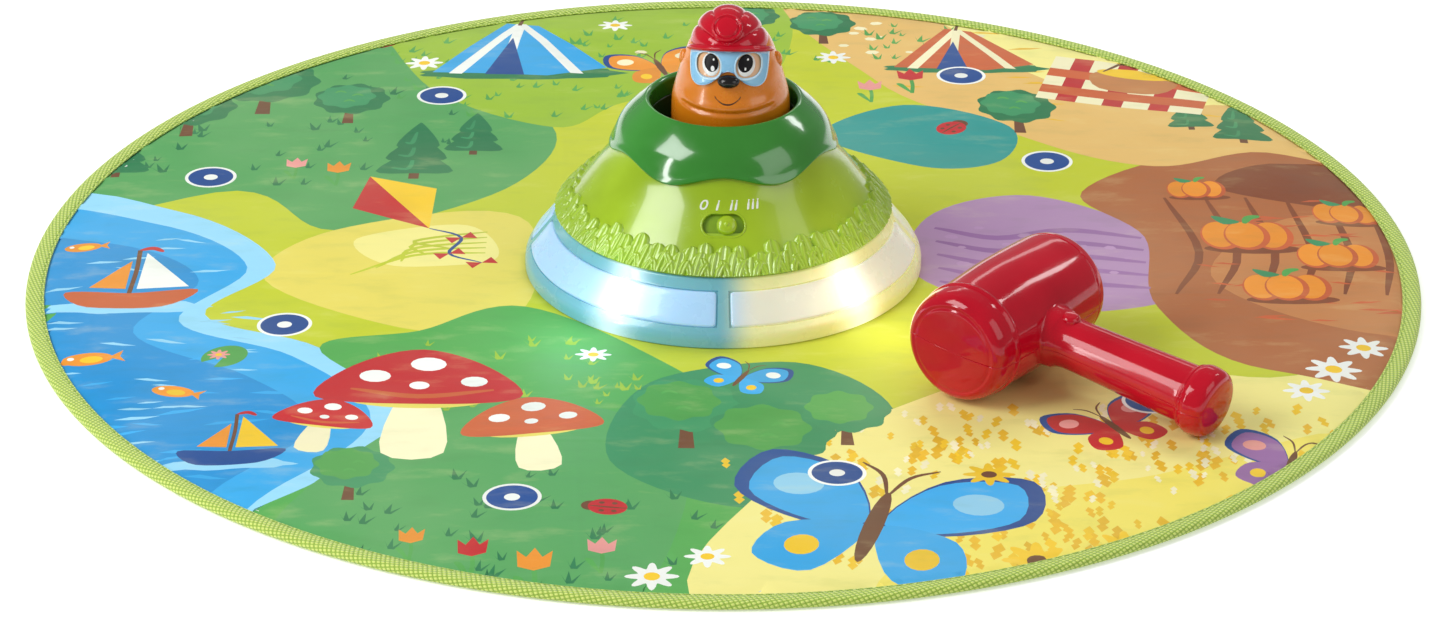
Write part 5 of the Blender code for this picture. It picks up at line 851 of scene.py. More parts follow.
def tufts(seed, kind, colour, count, x, y, wide, high, size):
    """Small strokes scattered in an oval patch: tufts of grass, ears and dabs of straw, or stones."""
    rng = np.random.default_rng(seed)
    angle = rng.uniform(0, 2 * pi, count)
    reach = np.sqrt(rng.uniform(0, 1, count))
    scale = size * rng.uniform(0.7, 1.3, count)
    lean = rng.uniform(-0.3, 0.3, count)
    forms = {
        "tuft": (-50, 55, -22, -10, -10, 85, 10, -10, 55, 60, 20, -35, -15, -35),
        "ear": (0, -60, 28, -15, 12, 5, 30, 35, 0, 80, -30, 35, -12, 5, -28, -15),
        "dash": (-110, 0, -30, 20, 40, 10, 110, 4, 30, -12, -40, -10),
        "stone": (-60, 0, -30, 42, 30, 40, 65, 2, 30, -36, -35, -34),
    }
    for place in zip(x + wide * reach * np.cos(angle), y + high * reach * np.sin(angle), scale / 100, lean):
        paint(colour, at(*place)(pairs(forms[kind])))


# %% Fields of colour
paint("lime", oval(0, 0, 397, 397, 180))
field("meadow", -430, 60, -290, 96, -228, 40, -130, 96, -105, 190, -190, 262, -200, 430, -430, 430)
field("grass", -190, 262, -105, 190, -60, 230, 30, 262, 20, 430, -210, 430)
field("straw", -228, 40, -120, 60, -112, -60, -170, -96, -262, -30)
field("pale", -214, 28, -150, 46, -132, 2, -190, -10)
field("foamy", -440, 82, -322, 66, -258, -8, -292, -74, -224, -118, -170, -196, -222, -290, -300, -370, -460, -240)
field("sky", -450, 62, -334, 48, -274, -12, -306, -82, -238, -128, -190, -200, -236, -282, -310, -352, -460, -230)
field("water", -450, 20, -352, 18, -300, -30, -330, -96, -262, -150, -222, -206, -256, -266, -330, -320, -460, -200)
field("leaf", -112, -60, -170, -96, -224, -118, -170, -196, -212, -270, -250, -330, -120, -420, 10, -400, 28, -250,
      -26, -140)
field("meadow", -190, -230, -120, -180, -40, -210, -20, -300, -70, -420, -240, -380)
field("bush", -40, -160, 40, -130, 92, -186, 70, -270, 10, -300, -60, -250)
field("pale", 10, -420, 30, -262, 112, -170, 210, -120, 300, -150, 430, -130, 430, -430)
field("straw", 90, -430, 130, -300, 230, -262, 330, -210, 430, -190, 430, -430)
field("lilac", 112, -20, 186, -66, 268, -40, 246, 40, 182, 92, 120, 60)
field("clay", 246, -60, 300, -140, 440, -150, 440, 130, 300, 150, 214, 96, 246, 30)
field("earth", 280, -20, 350, -90, 440, -80, 440, 30, 340, 60)
field("soil", 300, 92, 440, 60, 440, 130, 330, 134)
field("sand", 60, 430, 96, 262, 180, 178, 260, 130, 330, 152, 440, 140, 440, 430)
field("pale", 150, 430, 176, 300, 260, 226, 330, 230, 430, 200, 430, 430)
field("teal", 60, 178, 120, 130, 168, 140, 176, 190, 112, 222)
# furrows of lavender, of dug soil and of young corn
for n in range(5):
    stroke("violet", [(124, 18 * n - 26), (160, 18 * n - 40), (200, 18 * n - 30), (244, 16.2 * n - 36)], 7)
for n in range(7):
    stroke("soil", [(258 + 24 * n, -44), (276 + 22 * n, 10), (262 + 24 * n, 84)], 5)
for n in range(5):
    stroke("lime", [(-214 + 14 * n, -22 + 9 * n), (-180, 4 + 5 * n), (-138, 10 + 7 * n)], 3)

# %% Things in the fields
for seed, patch in enumerate((
    ("tuft", "deep", 46, -270, 190, 120, 90, 9), ("tuft", "leaf", 60, -120, 270, 110, 70, 8),
    ("tuft", "deep", 44, -110, -320, 110, 62, 9), ("tuft", "grass", 40, -120, -150, 80, 50, 8),
    ("dash", "foamy", 42, -330, -120, 70, 150, 9), ("dash", "sky", 26, -310, -200, 70, 90, 10),
    ("ear", "wheat", 190, 230, -300, 210, 105, 10), ("ear", "gold", 150, 210, -280, 220, 110, 9),
    ("ear", "cream", 70, 150, -240, 150, 60, 7), ("dash", "rust", 34, 340, 0, 80, 90, 9),
    ("dash", "wheat", 46, 250, 280, 150, 90, 9), ("stone", "cream", 26, 60, 320, 120, 50, 6),
    ("tuft", "leaf", 50, 0, 330, 170, 40, 8), ("stone", "lilac", 26, 186, 10, 60, 50, 6),
), 1):
    tufts(seed, *patch)
draw("tree", "bush deep", (-330, 214, 74), (-286, 252, 86), (-232, 226, 64), (18, 366, 50), (64, 352, 58),
     (182, 214, 66))
draw("conifer", "deep bush", (-366, 150, 66), (-186, 150, 78), (-152, 176, 60), (318, 196, 62), (288, 210, 48))
draw("tree", "leaf bush", (-20, -196, 80), (26, -226, 92), (66, -196, 66), (-196, -262, 60))
draw("tent", "sky white", (-132, 318, 104))
draw("tent", "rust cream", (150, 318, 84))
draw("boat", "rust white", (-338, -36, 92))
draw("boat", "navy gold", (-262, -232, 70))
draw("fish", "", (-352, -128, 40, 0.2), (-300, -168, 34, -0.3), (-372, 16, 30, 0.1), (-296, -300, 36, 0.5))
# water lilies: a round leaf with a notch, and a flower on it
for x, y, size, turn in ((-392, -70, 32, 0.4), (-318, -262, 34, 2.0), (-276, -126, 28, 4.0)):
    paint("leaf", at(x, y, size, turn)([(0, 0), *oval(0, 0, 0.5, 0.42, 30)[2:-1]]))
    draw("daisy", "pink gold", (x - size * 0.12, y + size * 0.08, size * 0.5))
draw("toadstool", "red", (-166, -176, 124))
draw("toadstool", "rust", (-102, -214, 84, 0.12))
draw("toadstool", "red", (-216, -206, 60, -0.16))
draw("kite", "red gold", (-190, 74, 92, 0.5))
draw("kite", "sky white", (268, 322, 70, -0.5))
draw("cloth", "", (254, 258, 104, -0.25))
draw("pumpkin", "", (306, 34, 62), (356, 8, 54), (322, -34, 58), (282, 96, 40), (368, 66, 46))
draw("butterfly", "sky foamy", (78, -318, 150, -0.25))
draw("butterfly", "orange cream", (-40, 284, 60, 0.3))
draw("butterfly", "red pink", (210, -206, 62, 0.5))
draw("butterfly", "sky white", (10, -150, 46, -0.4))
draw("butterfly", "violet pink", (300, -250, 70, -0.3))
for petals, *place in (
    ("red", -128, -352, 40), ("orange", -96, -366, 46), ("pink", -62, -350, 38), ("orange", -160, -338, 34),
    ("pink", 92, 246, 38), ("red", 118, 262, 42), ("orange", -232, 120, 36), ("pink", -258, 128, 32),
):
    draw("tulip", petals, place)
draw("daisy", "white gold", (-36, -372, 30), (-8, -352, 26), (-190, 292, 26), (-70, 352, 24), (356, -112, 30),
     (336, -140, 34), (318, -166, 28), (70, 300, 24), (-72, -122, 22), (-260, 320, 24))
draw("daisy", "gold bark", (160, -354, 40), (206, -338, 34), (262, -318, 42), (140, -262, 30))
draw("ladybird", "", (-220, 330, 26, 0.4), (40, 236, 26, 2.2), (140, 186, 26, 0.9), (-60, -300, 26, 3.0))
for x, y in ((-308, 116), (-176, 238), (150, 270), (-246, -88), (-110, -290), (196, 140), (60, -262), (232, -176)):
    draw("spot", "", (x, y, 100))
print(len(SHAPES), "shapes,", sum(len(loop) for _, loop in SHAPES), "outline points")

# %% The printed sheet
INNER, OUTER = 97.5, 395.7
TOP_LINE = mm(INNER, 2.6, 108.6, 2.6, 110.8, 4, 386.4, 4, 388.6, 2.7, OUTER, 2.7)


def picture_sheet():
    """Triangulates all shapes at once. A triangle's colour is that of the last shape that holds it.

    The sheet's height is that of its top line, which sinks at its clamped inner rim and in the binding, and the swell.
    """
    step = 13.0
    grid = np.stack(np.meshgrid(np.arange(-390, 391, step), np.arange(-390, 391, step * 0.866)), -1)
    grid[1::2, :, 0] += step / 2
    grid = grid.reshape(-1, 2)
    reach = np.hypot(*grid.T)
    grid = grid[(reach < 382) & (reach > 116)]
    tints, drawn = zip(*SHAPES)
    loops = [oval(0, 0, OUTER, OUTER, 360), oval(0, 0, INNER, INNER, 120), *drawn]
    rings = [oval(0, 0, r, r, 240) for r in (108.6, 110.8, 386.4, 388.6)]
    flat, triangles = triangulated(loops, [*rings, grid], 0.002)
    middle = flat[triangles].mean(axis=1)
    top = np.zeros(len(triangles), int)
    for index, loop in enumerate(loops[2:]):
        loop = loop / 1000
        near = np.flatnonzero(np.all((middle > loop.min(axis=0)) & (middle < loop.max(axis=0)), axis=1))
        top[near[inside(middle[near], [loop])]] = index
    reach = np.hypot(*middle.T) * 1000
    kept = (reach < OUTER) & (reach > INNER)
    used, corners = np.unique(triangles[kept], return_inverse=True)
    shade = np.random.default_rng(21).uniform(0.93, 1.07, (len(SHAPES), 1))
    x, y = flat[used].T
    z = np.interp(np.hypot(x, y), *TOP_LINE.T) + swell(x, y)
    front, back = np.stack([x, y, z], 1), np.stack([x, y, z - 0.0005], 1)
    return closed_plate("printed_sheet", front, back, corners.reshape(-1, 3), (np.array(tints) * shade)[top[kept]])


sheet = ready(picture_sheet(), "console", "print", "mat_top_sheet")
print("The printed sheet has", len(sheet.data.polygons), "faces")


# %% The binding and its stitches
STITCHES = 480


def binding_tape():
    """Tape folded round the rim: plump outside, open inside, and drawn in a little at each stitch."""
    cuts = (0.2, 1.2, 1.2, 1.2, 1.4, 2, 0.5, 0.3, 0.3, 0.3, 0.2)
    loop = profile(5, cuts, 389.2, 0.2, 398.5, 0, 400, 1.4, 399.8, 3.6, 398, 4.8, 392.5, 4.75, 389.2, 4.1,
                   389.2, 3.1, 396, 3, 396, 0.8, 389.2, 0.9, closed=True)
    outline, girth = even(loop, 56)
    points = turn_outline(outline, 3 * STITCHES)
    pull = hump(outline[:, 0], 0.391, 0.0012) * (outline[:, 1] > 0.0036)
    points[..., 2] -= pull[:, None] * 0.00022 * (1 + np.cos(STITCHES * around(3 * STITCHES)))
    return surface("edge_tape", points, tube=True, size=(2 * pi * 0.4, girth))


def stitches():
    """One row of lock stitches: small plump ovals, in one mesh."""
    unit, faces = sphere(6, 5)
    x, y, z = (unit * [0.0003, 0.0018, 0.00028] + [0.3909, 0, 0.00436]).T
    azimuth = (around(STITCHES) + pi / STITCHES)[:, None]
    rows = (x * np.cos(azimuth) - y * np.sin(azimuth), x * np.sin(azimuth) + y * np.cos(azimuth), z)
    points = np.stack(np.broadcast_arrays(*rows), -1).reshape(-1, 3)
    faces = [[corner + len(unit) * n for corner in face] for n in range(STITCHES) for face in faces]
    return finished("edge_stitches", mesh_of("edge_stitches", points, faces))


tape = ready(binding_tape(), "console", "binding", "edge_binding")
seam = ready(stitches(), "console", "thread", slot="binding")

# %% [markdown]
# ## The light ring
# A milky skirt with a bull nose at its foot, and four windows set into its slope.
# The windows' recesses are sunk in the grid itself, with rows and columns close to each of their edges.

# %% Ring
LOW, HIGH = mm(111.6, 15.1, 97.5, 33)
SLOPE = HIGH - LOW
UP_SLOPE = SLOPE / np.linalg.norm(SLOPE)
SLOPE_OUT = np.array([UP_SLOPE[1], -UP_SLOPE[0]])
MEAN_RADIUS = 0.1046


def light_ring():
    """The closed outline of the ring turned round Z, with the rows of the slope sunk where a window lies."""
    share = np.array([0, 0.03, 0.05, 0.2, 0.4, 0.6, 0.8, 0.95, 0.97, 1.0])
    foot = profile(8, (0, 1.2, 3.8, 0), 112.5, 4.3, 114.3, 4.3, 114.3, 11.2, 111.6, 15.1)
    crown = profile(4, (0, 1.2, 0.8, *[0.4] * 8, 0), 97.5, 33, 95.5, 38.5, 90.5, 38.5, 90.5, 36.3, 94.5, 35.5, 96, 31,
                    109, 14.8, 112, 10, 112, 5.3, 99.2, 5.3, 99.2, 2.9, 108.7, 2.9)
    outline = np.vstack([foot[:-1], LOW + SLOPE * share[:, None], crown[1:]])
    sunk = np.zeros(len(outline))
    sunk[len(foot) - 1 :][: len(share)] = (share > 0.035) & (share < 0.965)
    edge = 0.003 / MEAN_RADIUS
    quarter = np.concatenate([[0, edge * 0.5, edge, edge + 0.002], np.linspace(edge + 0.01, pi / 2 - edge - 0.01, 44),
                              [pi / 2 - edge - 0.002, pi / 2 - edge, pi / 2 - edge * 0.5]])
    azimuth = np.concatenate([quarter + turn * pi / 2 for turn in range(4)])
    within = (quarter > edge * 1.01) & (quarter < pi / 2 - edge * 1.01)
    sink = sunk[:, None] * np.tile(within, 4) * 0.0012
    points = polar(outline[:, :1] - SLOPE_OUT[0] * sink, azimuth, outline[:, 1:] - SLOPE_OUT[1] * sink)
    return surface("milky_ring", points, tube=True, sharp=30)


def on_ring(middle):
    """A warp onto the ring's slope: x along the ring from an azimuth, y up the slope, and the height off it."""

    def warp(x, y, height):
        r, z = ((LOW + HIGH) / 2 + y[:, None] * UP_SLOPE + (height - 0.0009)[:, None] * SLOPE_OUT).T
        return polar(r, middle + x / MEAN_RADIUS, z)

    return warp


ready(light_ring(), "console", "milky_plastic", "light_ring")
for n in range(1, 5):
    loop = box_loop(0.0781, 0.0101, 0.0016, 160)
    window = relief(f"window_{n}", [loop], on_ring(pi / 2 * (n - 0.5)), 1.5, 1.2, 0.2, 4)
    ready(window, "console", "window_plastic", f"light_window_{n}")

# %% [markdown]
# ## The hill
# A lime cone with the slot of the level switch, grass moulded round its foot, and a wavy green collar.

# %% Dome, slot and marks
SLANT, SLOT_Z, FOOT_Z = atan(0.82), 0.0622, 0.0388


def cone_radius(z):
    """The radius of the lime cone at a height."""
    return 0.0638 + (0.0765 - z) * 0.82


def on_cone(z0, lift=0.0):
    """A warp onto the front of the cone about a height: x to the right, y up the slope."""

    def warp(x, y, height):
        out = height + lift
        r = cone_radius(z0) - y * sin(SLANT) + out * cos(SLANT)
        return polar(r, x / cone_radius(z0) - pi / 2, z0 + y * cos(SLANT) + out * sin(SLANT))

    return warp


def obround(half_length, half_height):
    """A loop with straight sides and half-round ends."""
    t = np.linspace(-pi / 2, pi / 2, 22)
    end = half_height * np.stack([np.cos(t), np.sin(t)], 1) + [half_length - half_height, 0]
    return np.vstack([end, -end])


def bored(target, cutter):
    """The target with the cutter taken out of it, as a plain mesh."""
    modifier = target.modifiers.new("bore", "BOOLEAN")
    modifier.object, modifier.solver = cutter, "EXACT"
    made = bpy.data.meshes.new_from_object(target.evaluated_get(bpy.context.evaluated_depsgraph_get()))
    name = target.name
    bpy.data.objects.remove(target)
    bpy.data.objects.remove(cutter)
    return finished(name, made)


def dome():
    """The cone with a rounded knee and ledge, bored for the slot."""
    outer = profile(8, (0, 9, 6, 2, 0), 94.7, 38.8, 63.8, 76.5, 59, 88.2, 52, 94.8, 43.7, 94.8)
    inner = mm(43.7, 92.8, 51.2, 92.8, 57.3, 87, 62, 75.8, 92.1, 38.8)
    shell = spun("lime_dome", np.vstack([outer, inner]), 200, tube=True)
    return bored(shell, relief("slot_cutter", [obround(0.0117, 0.0064)], on_cone(SLOT_Z), 4, 0.2, 6, 3))


def level_marks():
    """The printed marks 0, I, II and III above the slot, slanted, in white paint with a little body."""
    zero = [oval(0, 0, wide, high, 36, 2.3) for wide, high in mm(2.2, 3, 1.1, 1.9)]
    bar = [box_loop(0.0006, 0.003, 0.00048)]
    marks = [(-0.0108, zero)]
    for x, count in ((-0.003, 1), (0.0059, 2), (0.0167, 3)):
        marks += [(x + (step - (count - 1) / 2) * 0.0026, bar) for step in range(count)]
    slanted = np.array([(1, 0), (0.22, 1)])
    parts = [relief("mark", [loop @ slanted + [x, 0] for loop in loops], on_cone(0.071, 0.00002), 0.12, 0.15, 0.1, 0.8)
             for x, loops in marks]
    return merged("level_marks", *parts)


ready(dome(), "console", "lime_plastic", "dome_shell")
lip = relief("slot_lip", [obround(0.0129, 0.0076), obround(0.01175, 0.00645)], on_cone(SLOT_Z), 0.35, 0.5, 0.3)
ready(lip, "console", "lime_plastic")
ready(level_marks(), "console", "mark_paint", slot="eye_white")


# %% Knob
def level_knob():
    """The domed knob with its nub, and the curved slider behind the slot."""
    outline = profile(5, (0, 0.4, 0.3, 1, 1, 0.6, 0.1, 0), 0, 3.4, 0.9, 3.4, 1.5, 2.7, 3.2, 2.6, 5, 1.7, 5.6, 0.2,
                      5.7, -2.6, 0, -2.6)
    seat = Matrix.Translation((0, -cone_radius(SLOT_Z), SLOT_Z)) @ Matrix.Rotation(pi / 2 - SLANT, 4, "X")
    knob = spun("level_button", outline, 64, matrix=seat)
    slider = relief("level_slider", [box_loop(0.0178, 0.0084, 0.001, 80)], on_cone(SLOT_Z, -0.0037), 1.4, 0.5, 0, 2)
    for piece in (knob, slider):
        piece.data.transform(Matrix.Rotation(0.0019 / cone_radius(SLOT_Z), 4, "Z"))
    return knob, slider


button, slider = level_knob()
ready(button, "level_knob", "lime_plastic", "level_knob")
# the slider wears the darker lime as painted shade in the slot
ready(slider, "level_knob", "slot_shade_green", slot="lime_plastic")


# %% Grass
def grass():
    """Fingers of grass on the cone's foot: the tallest wins at each point, and bare places sink into the cone.

    A finger's width is that of a round tip on a stem, and its section is a flattened arch that falls below
    the cone's surface at its sides, so that every outline is a clean cut between two smooth surfaces.
    """
    count, sunk = 56, -0.0008
    azimuth, run = around(1560), np.linspace(0, 0.0256, 54)[:, None]
    foot_radius = cone_radius(FOOT_Z)
    girth = 2 * pi * foot_radius
    waves = ((7, 0, 0.45), (11, 1.3, 0.35), (17, 2.1, 0.3))
    clump = sum(share * np.sin(n * azimuth + start) for n, start, share in waves)
    valley = 0.0085 + 0.005 * (1 + clump) / 2
    height = 0.0014 - 0.0022 * (run / (valley * 0.8)) ** 4
    # each row: share of the full height, stand off the cone, half width, ribs, fan of the leaves, shift
    for tall, proud, wide, ribs, fan, shift in (
        (1.0, 0.0017, 0.0056, 2, 0, 0),
        (0.74, 0.0022, 0.0052, 3, 0.12, 0.5),
        (0.5, 0.0026, 0.0034, 2, -0.4, 0.25),
        (0.44, 0.0028, 0.0034, 2, 0.4, 0.78),
    ):
        rng = np.random.default_rng(round(1000 * proud))
        draws = [rng.uniform(low, high, count) for low, high in ((-0.14, 0.14), (-0.1, 0.1), (0.82, 1.12))]
        for index, (lean, jitter, stretch) in enumerate(zip(*draws)):
            turn = (index + shift + jitter) / count * 2 * pi
            blade = 0.0045 + 0.0055 * (1 + 0.55 * sin(29 * turn + 0.4) + 0.45 * sin(31 * turn + 2.6)) / 2
            reach = (np.interp(turn, azimuth, valley, period=2 * pi) + blade) * tall * stretch
            half = wide * (0.5 + 0.5 * stretch)
            tip = np.clip((run - reach + half) / half, 0, 1)
            width = half * (0.75 + 0.25 * np.clip(run / reach / 0.6, 0, 1)) * np.clip(1 - tip**2.8, 1e-6, 1) ** 0.45
            bend = (fan + lean) * run * (0.4 + 0.6 * run / reach)
            off = ((azimuth - turn) * foot_radius - bend + girth / 2) % girth - girth / 2
            share = np.clip(off / width, -1, 1)
            arch = np.clip(1 - share**2, 0, 1) ** 0.4
            rib = np.abs(np.sin(ribs * pi * (share + 1) / 2)) ** 0.8 * 0.0009
            leaf = sunk + (proud - 0.0003 - sunk + rib) * arch
            height = np.maximum(height, np.where(tip < 1, leaf, sunk))
    rows_up = np.vstack([run, run[-1:], run[:1]])
    stand = np.pad(height, ((0, 2), (0, 0)), constant_values=sunk)
    r = foot_radius - rows_up * sin(SLANT) + stand * cos(SLANT)
    z = np.maximum(FOOT_Z + rows_up * cos(SLANT) + stand * sin(SLANT), FOOT_Z - 0.0001)
    return surface("grass_leaves", polar(r, azimuth, z), tube=True, sharp=60)


ready(grass(), "console", "grass_plastic", "grass_skirt")


# %% Collar and well
def collar():
    """The green cap: its lower edge waves six times round the dome and ends in a rounded lip."""
    steps, shoulder = 240, 0.1066
    azimuth = around(steps)
    edge = 0.0817 + 0.0031 * np.cos(6 * (azimuth + pi / 2))
    side = spline(mm(66, 77, 61.2, 89.5, 57.5, 95.8, 52.2, 101.5, 46.5, 106.6), 10)
    rim = profile(5, (0, 1.6, 1.6, 0.2, 0.2, 1, 1, 2, 0), 46.5, 106.6, 44.1, 108.7, 41.6, 106.8, 41.6, 97.2, 43.3, 97.2,
                  43.3, 103.5, 45.5, 105, 51, 100, 56, 94.6)
    z = edge + (shoulder - edge) * np.linspace(0, 1, 26)[:, None]
    rise = (z - edge) / 0.0012
    lip = np.where(rise < 1, np.clip(1 - (rise - 1) ** 2, 0, 1), 1 - 0.5 * smooth_step(z - edge, 0.0016, 0.0045))
    under_z = edge + [[0.0012], [0.0004]]
    under_r = np.interp(under_z, side[:, 1], side[:, 0]) - [[0.0019], [0.0012]]
    r = np.interp(z, side[:, 1], side[:, 0]) - 0.0004 + 0.0009 * lip
    r = np.vstack([r, np.repeat(rim[1:, :1], steps, 1), under_r])
    z = np.vstack([z, np.repeat(rim[1:, 1:], steps, 1), under_z])
    return surface("collar_cap", polar(r, azimuth, z), tube=True)


ready(collar(), "console", "green_plastic", "hill_collar")
# the well cup is dark green, painted darker still as shade deep in the opening
cup = profile(4, (0, 1, 0.5, 0.3, 0.3, 1, 3, 0.5, 0.3, 0.3, 0.3, 0), 0, 50, 40.2, 50, 43.4, 95.1, 50, 95.1, 50, 96.8,
              41.6, 96.8, 38.4, 52, 8.9, 52, 8.9, 58, 6.8, 58, 6.8, 52, 0, 52)
ready(spun("well_cup", cup), "console", "dark_green_plastic", "mole_well")

# %% [markdown]
# ## The mole
# A turned body with a soft crease under the cheeks.
# The eyes, goggles, nose and smile are drawn flat and wrapped round it.

# %% Body
FACE_X = 0.0004
MOLE = Matrix.Translation((0.004, 0, 0)) @ spin(-4, "Z")
MOLE_LINE = spline(mm(33.5, 78, 33.8, 88, 33.8, 98.5, 33.6, 105.5, 33.1, 111.1, 31.7, 116.7, 30.1, 122.3, 28.5, 128,
                      26.2, 134.5, 21.5, 145, 12, 153.5, 5, 156, 0, 156.5), 14)


def head_radius(z):
    """The radius of the mole at a height."""
    return np.interp(z, MOLE_LINE[:, 1], MOLE_LINE[:, 0])


def chin(from_front, z):
    """The rise of the chin and the crease under it, at degrees from the front. Both fade towards the sides."""
    off = z - 0.1108 - 0.0023 * (from_front / 60) ** 2
    rise = 0.0007 * hump(off, 0.0036, 0.0026) - 0.0011 * hump(off, 0, 0.0013)
    return rise * (1 - smooth_step(from_front, 40, 60))


def on_head(lift=0.0):
    """A warp onto the front of the mole: x to its left and right, y as the height above the floor."""

    def warp(x, y, height):
        r = head_radius(y)
        r = r + chin(np.abs(np.degrees(np.arcsin(np.clip(x / r, -1, 1)))), y) + height + lift
        return moved(np.stack([x, -np.sqrt(np.maximum(r**2 - x**2, 1e-8)), y], 1), MOLE)

    return warp


def mole_body():
    """The shell inside and out, with the boss of the plunger's screw and two small ears."""
    inner = mm(31.5, 78.2, 31.9, 98.5, 30.4, 111, 30.5, 115.8, 28.4, 124, 24.8, 133, 19.7, 144.5, 12, 150.5, 4.2, 151.5,
               4.2, 86.3, 1.7, 86.3, 1.7, 98.3, 0, 98.3)
    points = turn_outline(np.vstack([MOLE_LINE[::-1], inner]), 144)
    skin = points[: len(MOLE_LINE)]
    x, y, z = np.moveaxis(skin, -1, 0)
    grow = chin(np.abs(np.degrees(np.arctan2(x, -y))), z) / np.maximum(np.hypot(x, y), 0.001)
    skin[..., :2] *= 1 + grow[..., None]
    parts = [surface("shell", moved(points, MOLE))]
    for side in (-1, 1):
        unit, faces = sphere(32, 20)
        seat = MOLE @ Matrix.Translation((side * 0.026, 0, 0.131)) @ Matrix.Diagonal((0.0033, 0.0042, 0.0054, 1))
        parts.append(finished("ear", mesh_of("ear", moved(unit, seat), faces)))
    return merged("mole_shell", *parts)


def nose():
    """A smooth ellipsoid, flattened a little where it meets the head."""
    t = np.linspace(0, pi, 25)
    centre = Matrix.Translation((0.0008, -head_radius(0.1294) - 0.0014, 0.1294))
    seat = MOLE @ centre @ Matrix.Diagonal((0.0062, 0.0048, 0.0037, 1)) @ spin(90, "X")
    return spun("nose_ball", np.stack([np.sin(t) ** 0.95, np.cos(t)], 1), 40, matrix=seat)


ready(mole_body(), "mole", "orange_plastic", "mole_body")
ready(nose(), "mole", "black_plastic", "mole_nose")
for name, side in (("left", -1), ("right", 1)):
    x = side * 0.01 + FACE_X
    # a pale peach oval, raised half a millimetre, shows round the outer side of each eye
    peach_loop = oval(x + side * 0.0012, 0.1368, 0.0072, 0.0068, 40, 2.5)
    socket = relief(f"socket_{name}", [peach_loop], on_head(), 0.5, 0.8, 0.4, 0.8)
    ready(socket, "mole", "peach_plastic", slot="orange_plastic")
    eye = relief(f"eye_{name}", [oval(x, 0.137, 0.0051, 0.006)], on_head(), 1.2, 2, 0.5, 0.8)
    ready(eye, "mole", "eye_white", f"mole_eye_{name}")
    x -= side * 0.0004
    pupil = relief(f"pupil_{name}", [oval(x, 0.1382, 0.0041, 0.0046)], on_head(0.0011), 0.4, 1.2, 0.5, 0.6)
    ready(pupil, "mole", "pupil_print", slot="black_plastic")
    low = oval(x + 0.0004 - side * 0.0004, 0.1356, 0.0008 - side * 0.0003, 0.0011 - side * 0.0003, 20)
    high = oval(x + 0.0013, 0.1404, 0.0005, 0.0006, 20)
    glints = [relief("glint", [loop], on_head(0.0015), 0.08, 0.2, 0.3, 0.4) for loop in (low, high)]
    ready(merged(f"glint_{name}", *glints), "mole", "eye_white")


# %% Goggles and smile
def goggle_parts():
    """The frame with two eye holes and a nose notch, and a bead along each of its edges, paler as a painted highlight.
    """
    right = pairs((0, 0.93, 0.4, 0.99, 0.78, 1, 0.94, 0.92, 1, 0.72, 1, 0.4, 0.95, 0.12, 0.8, 0, 0.55, 0.05, 0.32, 0.2,
                   0.17, 0.36, 0, 0.42)) * [0.0221, 0.0212] + [0, 0.1256]
    outline, _ = even(spline(np.vstack([right, right[-2:0:-1] * [-1, 1]]), 6, True), 150)
    outline[:, 1] = np.minimum(outline[:, 1], 0.1464 - 0.0058 * (outline[:, 0] / 0.0221) ** 2)
    outline[:, 0] += FACE_X
    holes = [oval(side * 0.0112 + FACE_X, 0.1369, 0.0068, 0.0064, 56, 2.5) for side in (-1, 1)]
    rims = relief("frame", [outline, *holes], on_head(), 1.8, 1.1, 0.3, 0.9)
    beads = []
    for loop, grow in ((outline, -0.0009), *((hole, 0.0011) for hole in holes)):
        off = loop - loop.mean(axis=0)
        inner = loop + off * grow / np.linalg.norm(off, axis=1, keepdims=True)
        loops = [loop, inner] if grow < 0 else [inner, loop]
        beads.append(relief("bead", loops, on_head(0.0012), 0.85, 0.45, 0.6, 0.8))
    return rims, merged("goggle_beads", *beads)


def smile():
    """One thin painted arc with a short tick at each end."""
    t = np.linspace(-1, 1, 25)
    middle = np.stack([0.0067 * t + FACE_X, 0.1164 + 0.0031 * np.abs(t) ** 2.2], 1)
    half = 0.0003 * (1.15 - 0.6 * np.abs(t) ** 3)[:, None] * [0, 1]
    loops = [np.vstack([middle + half, (middle - half)[::-1]])]
    loops += [oval(side * 0.0068 + FACE_X, 0.1197, 0.00025, 0.001, 16, turn=-side * 0.6) for side in (-1, 1)]
    return merged("smile_line", *[relief("arc", [loop], on_head(0.00012), 0.08, 0.1, 0.4, 0.5) for loop in loops])


goggles, beads = goggle_parts()
ready(goggles, "mole", "blue_plastic", "mole_goggles")
# the beads are the paler blue, a painted highlight on the frame's edges
ready(beads, "mole", "blue_edge_highlight", slot="blue_plastic")
ready(smile(), "mole", "smile_paint", slot="black_plastic")


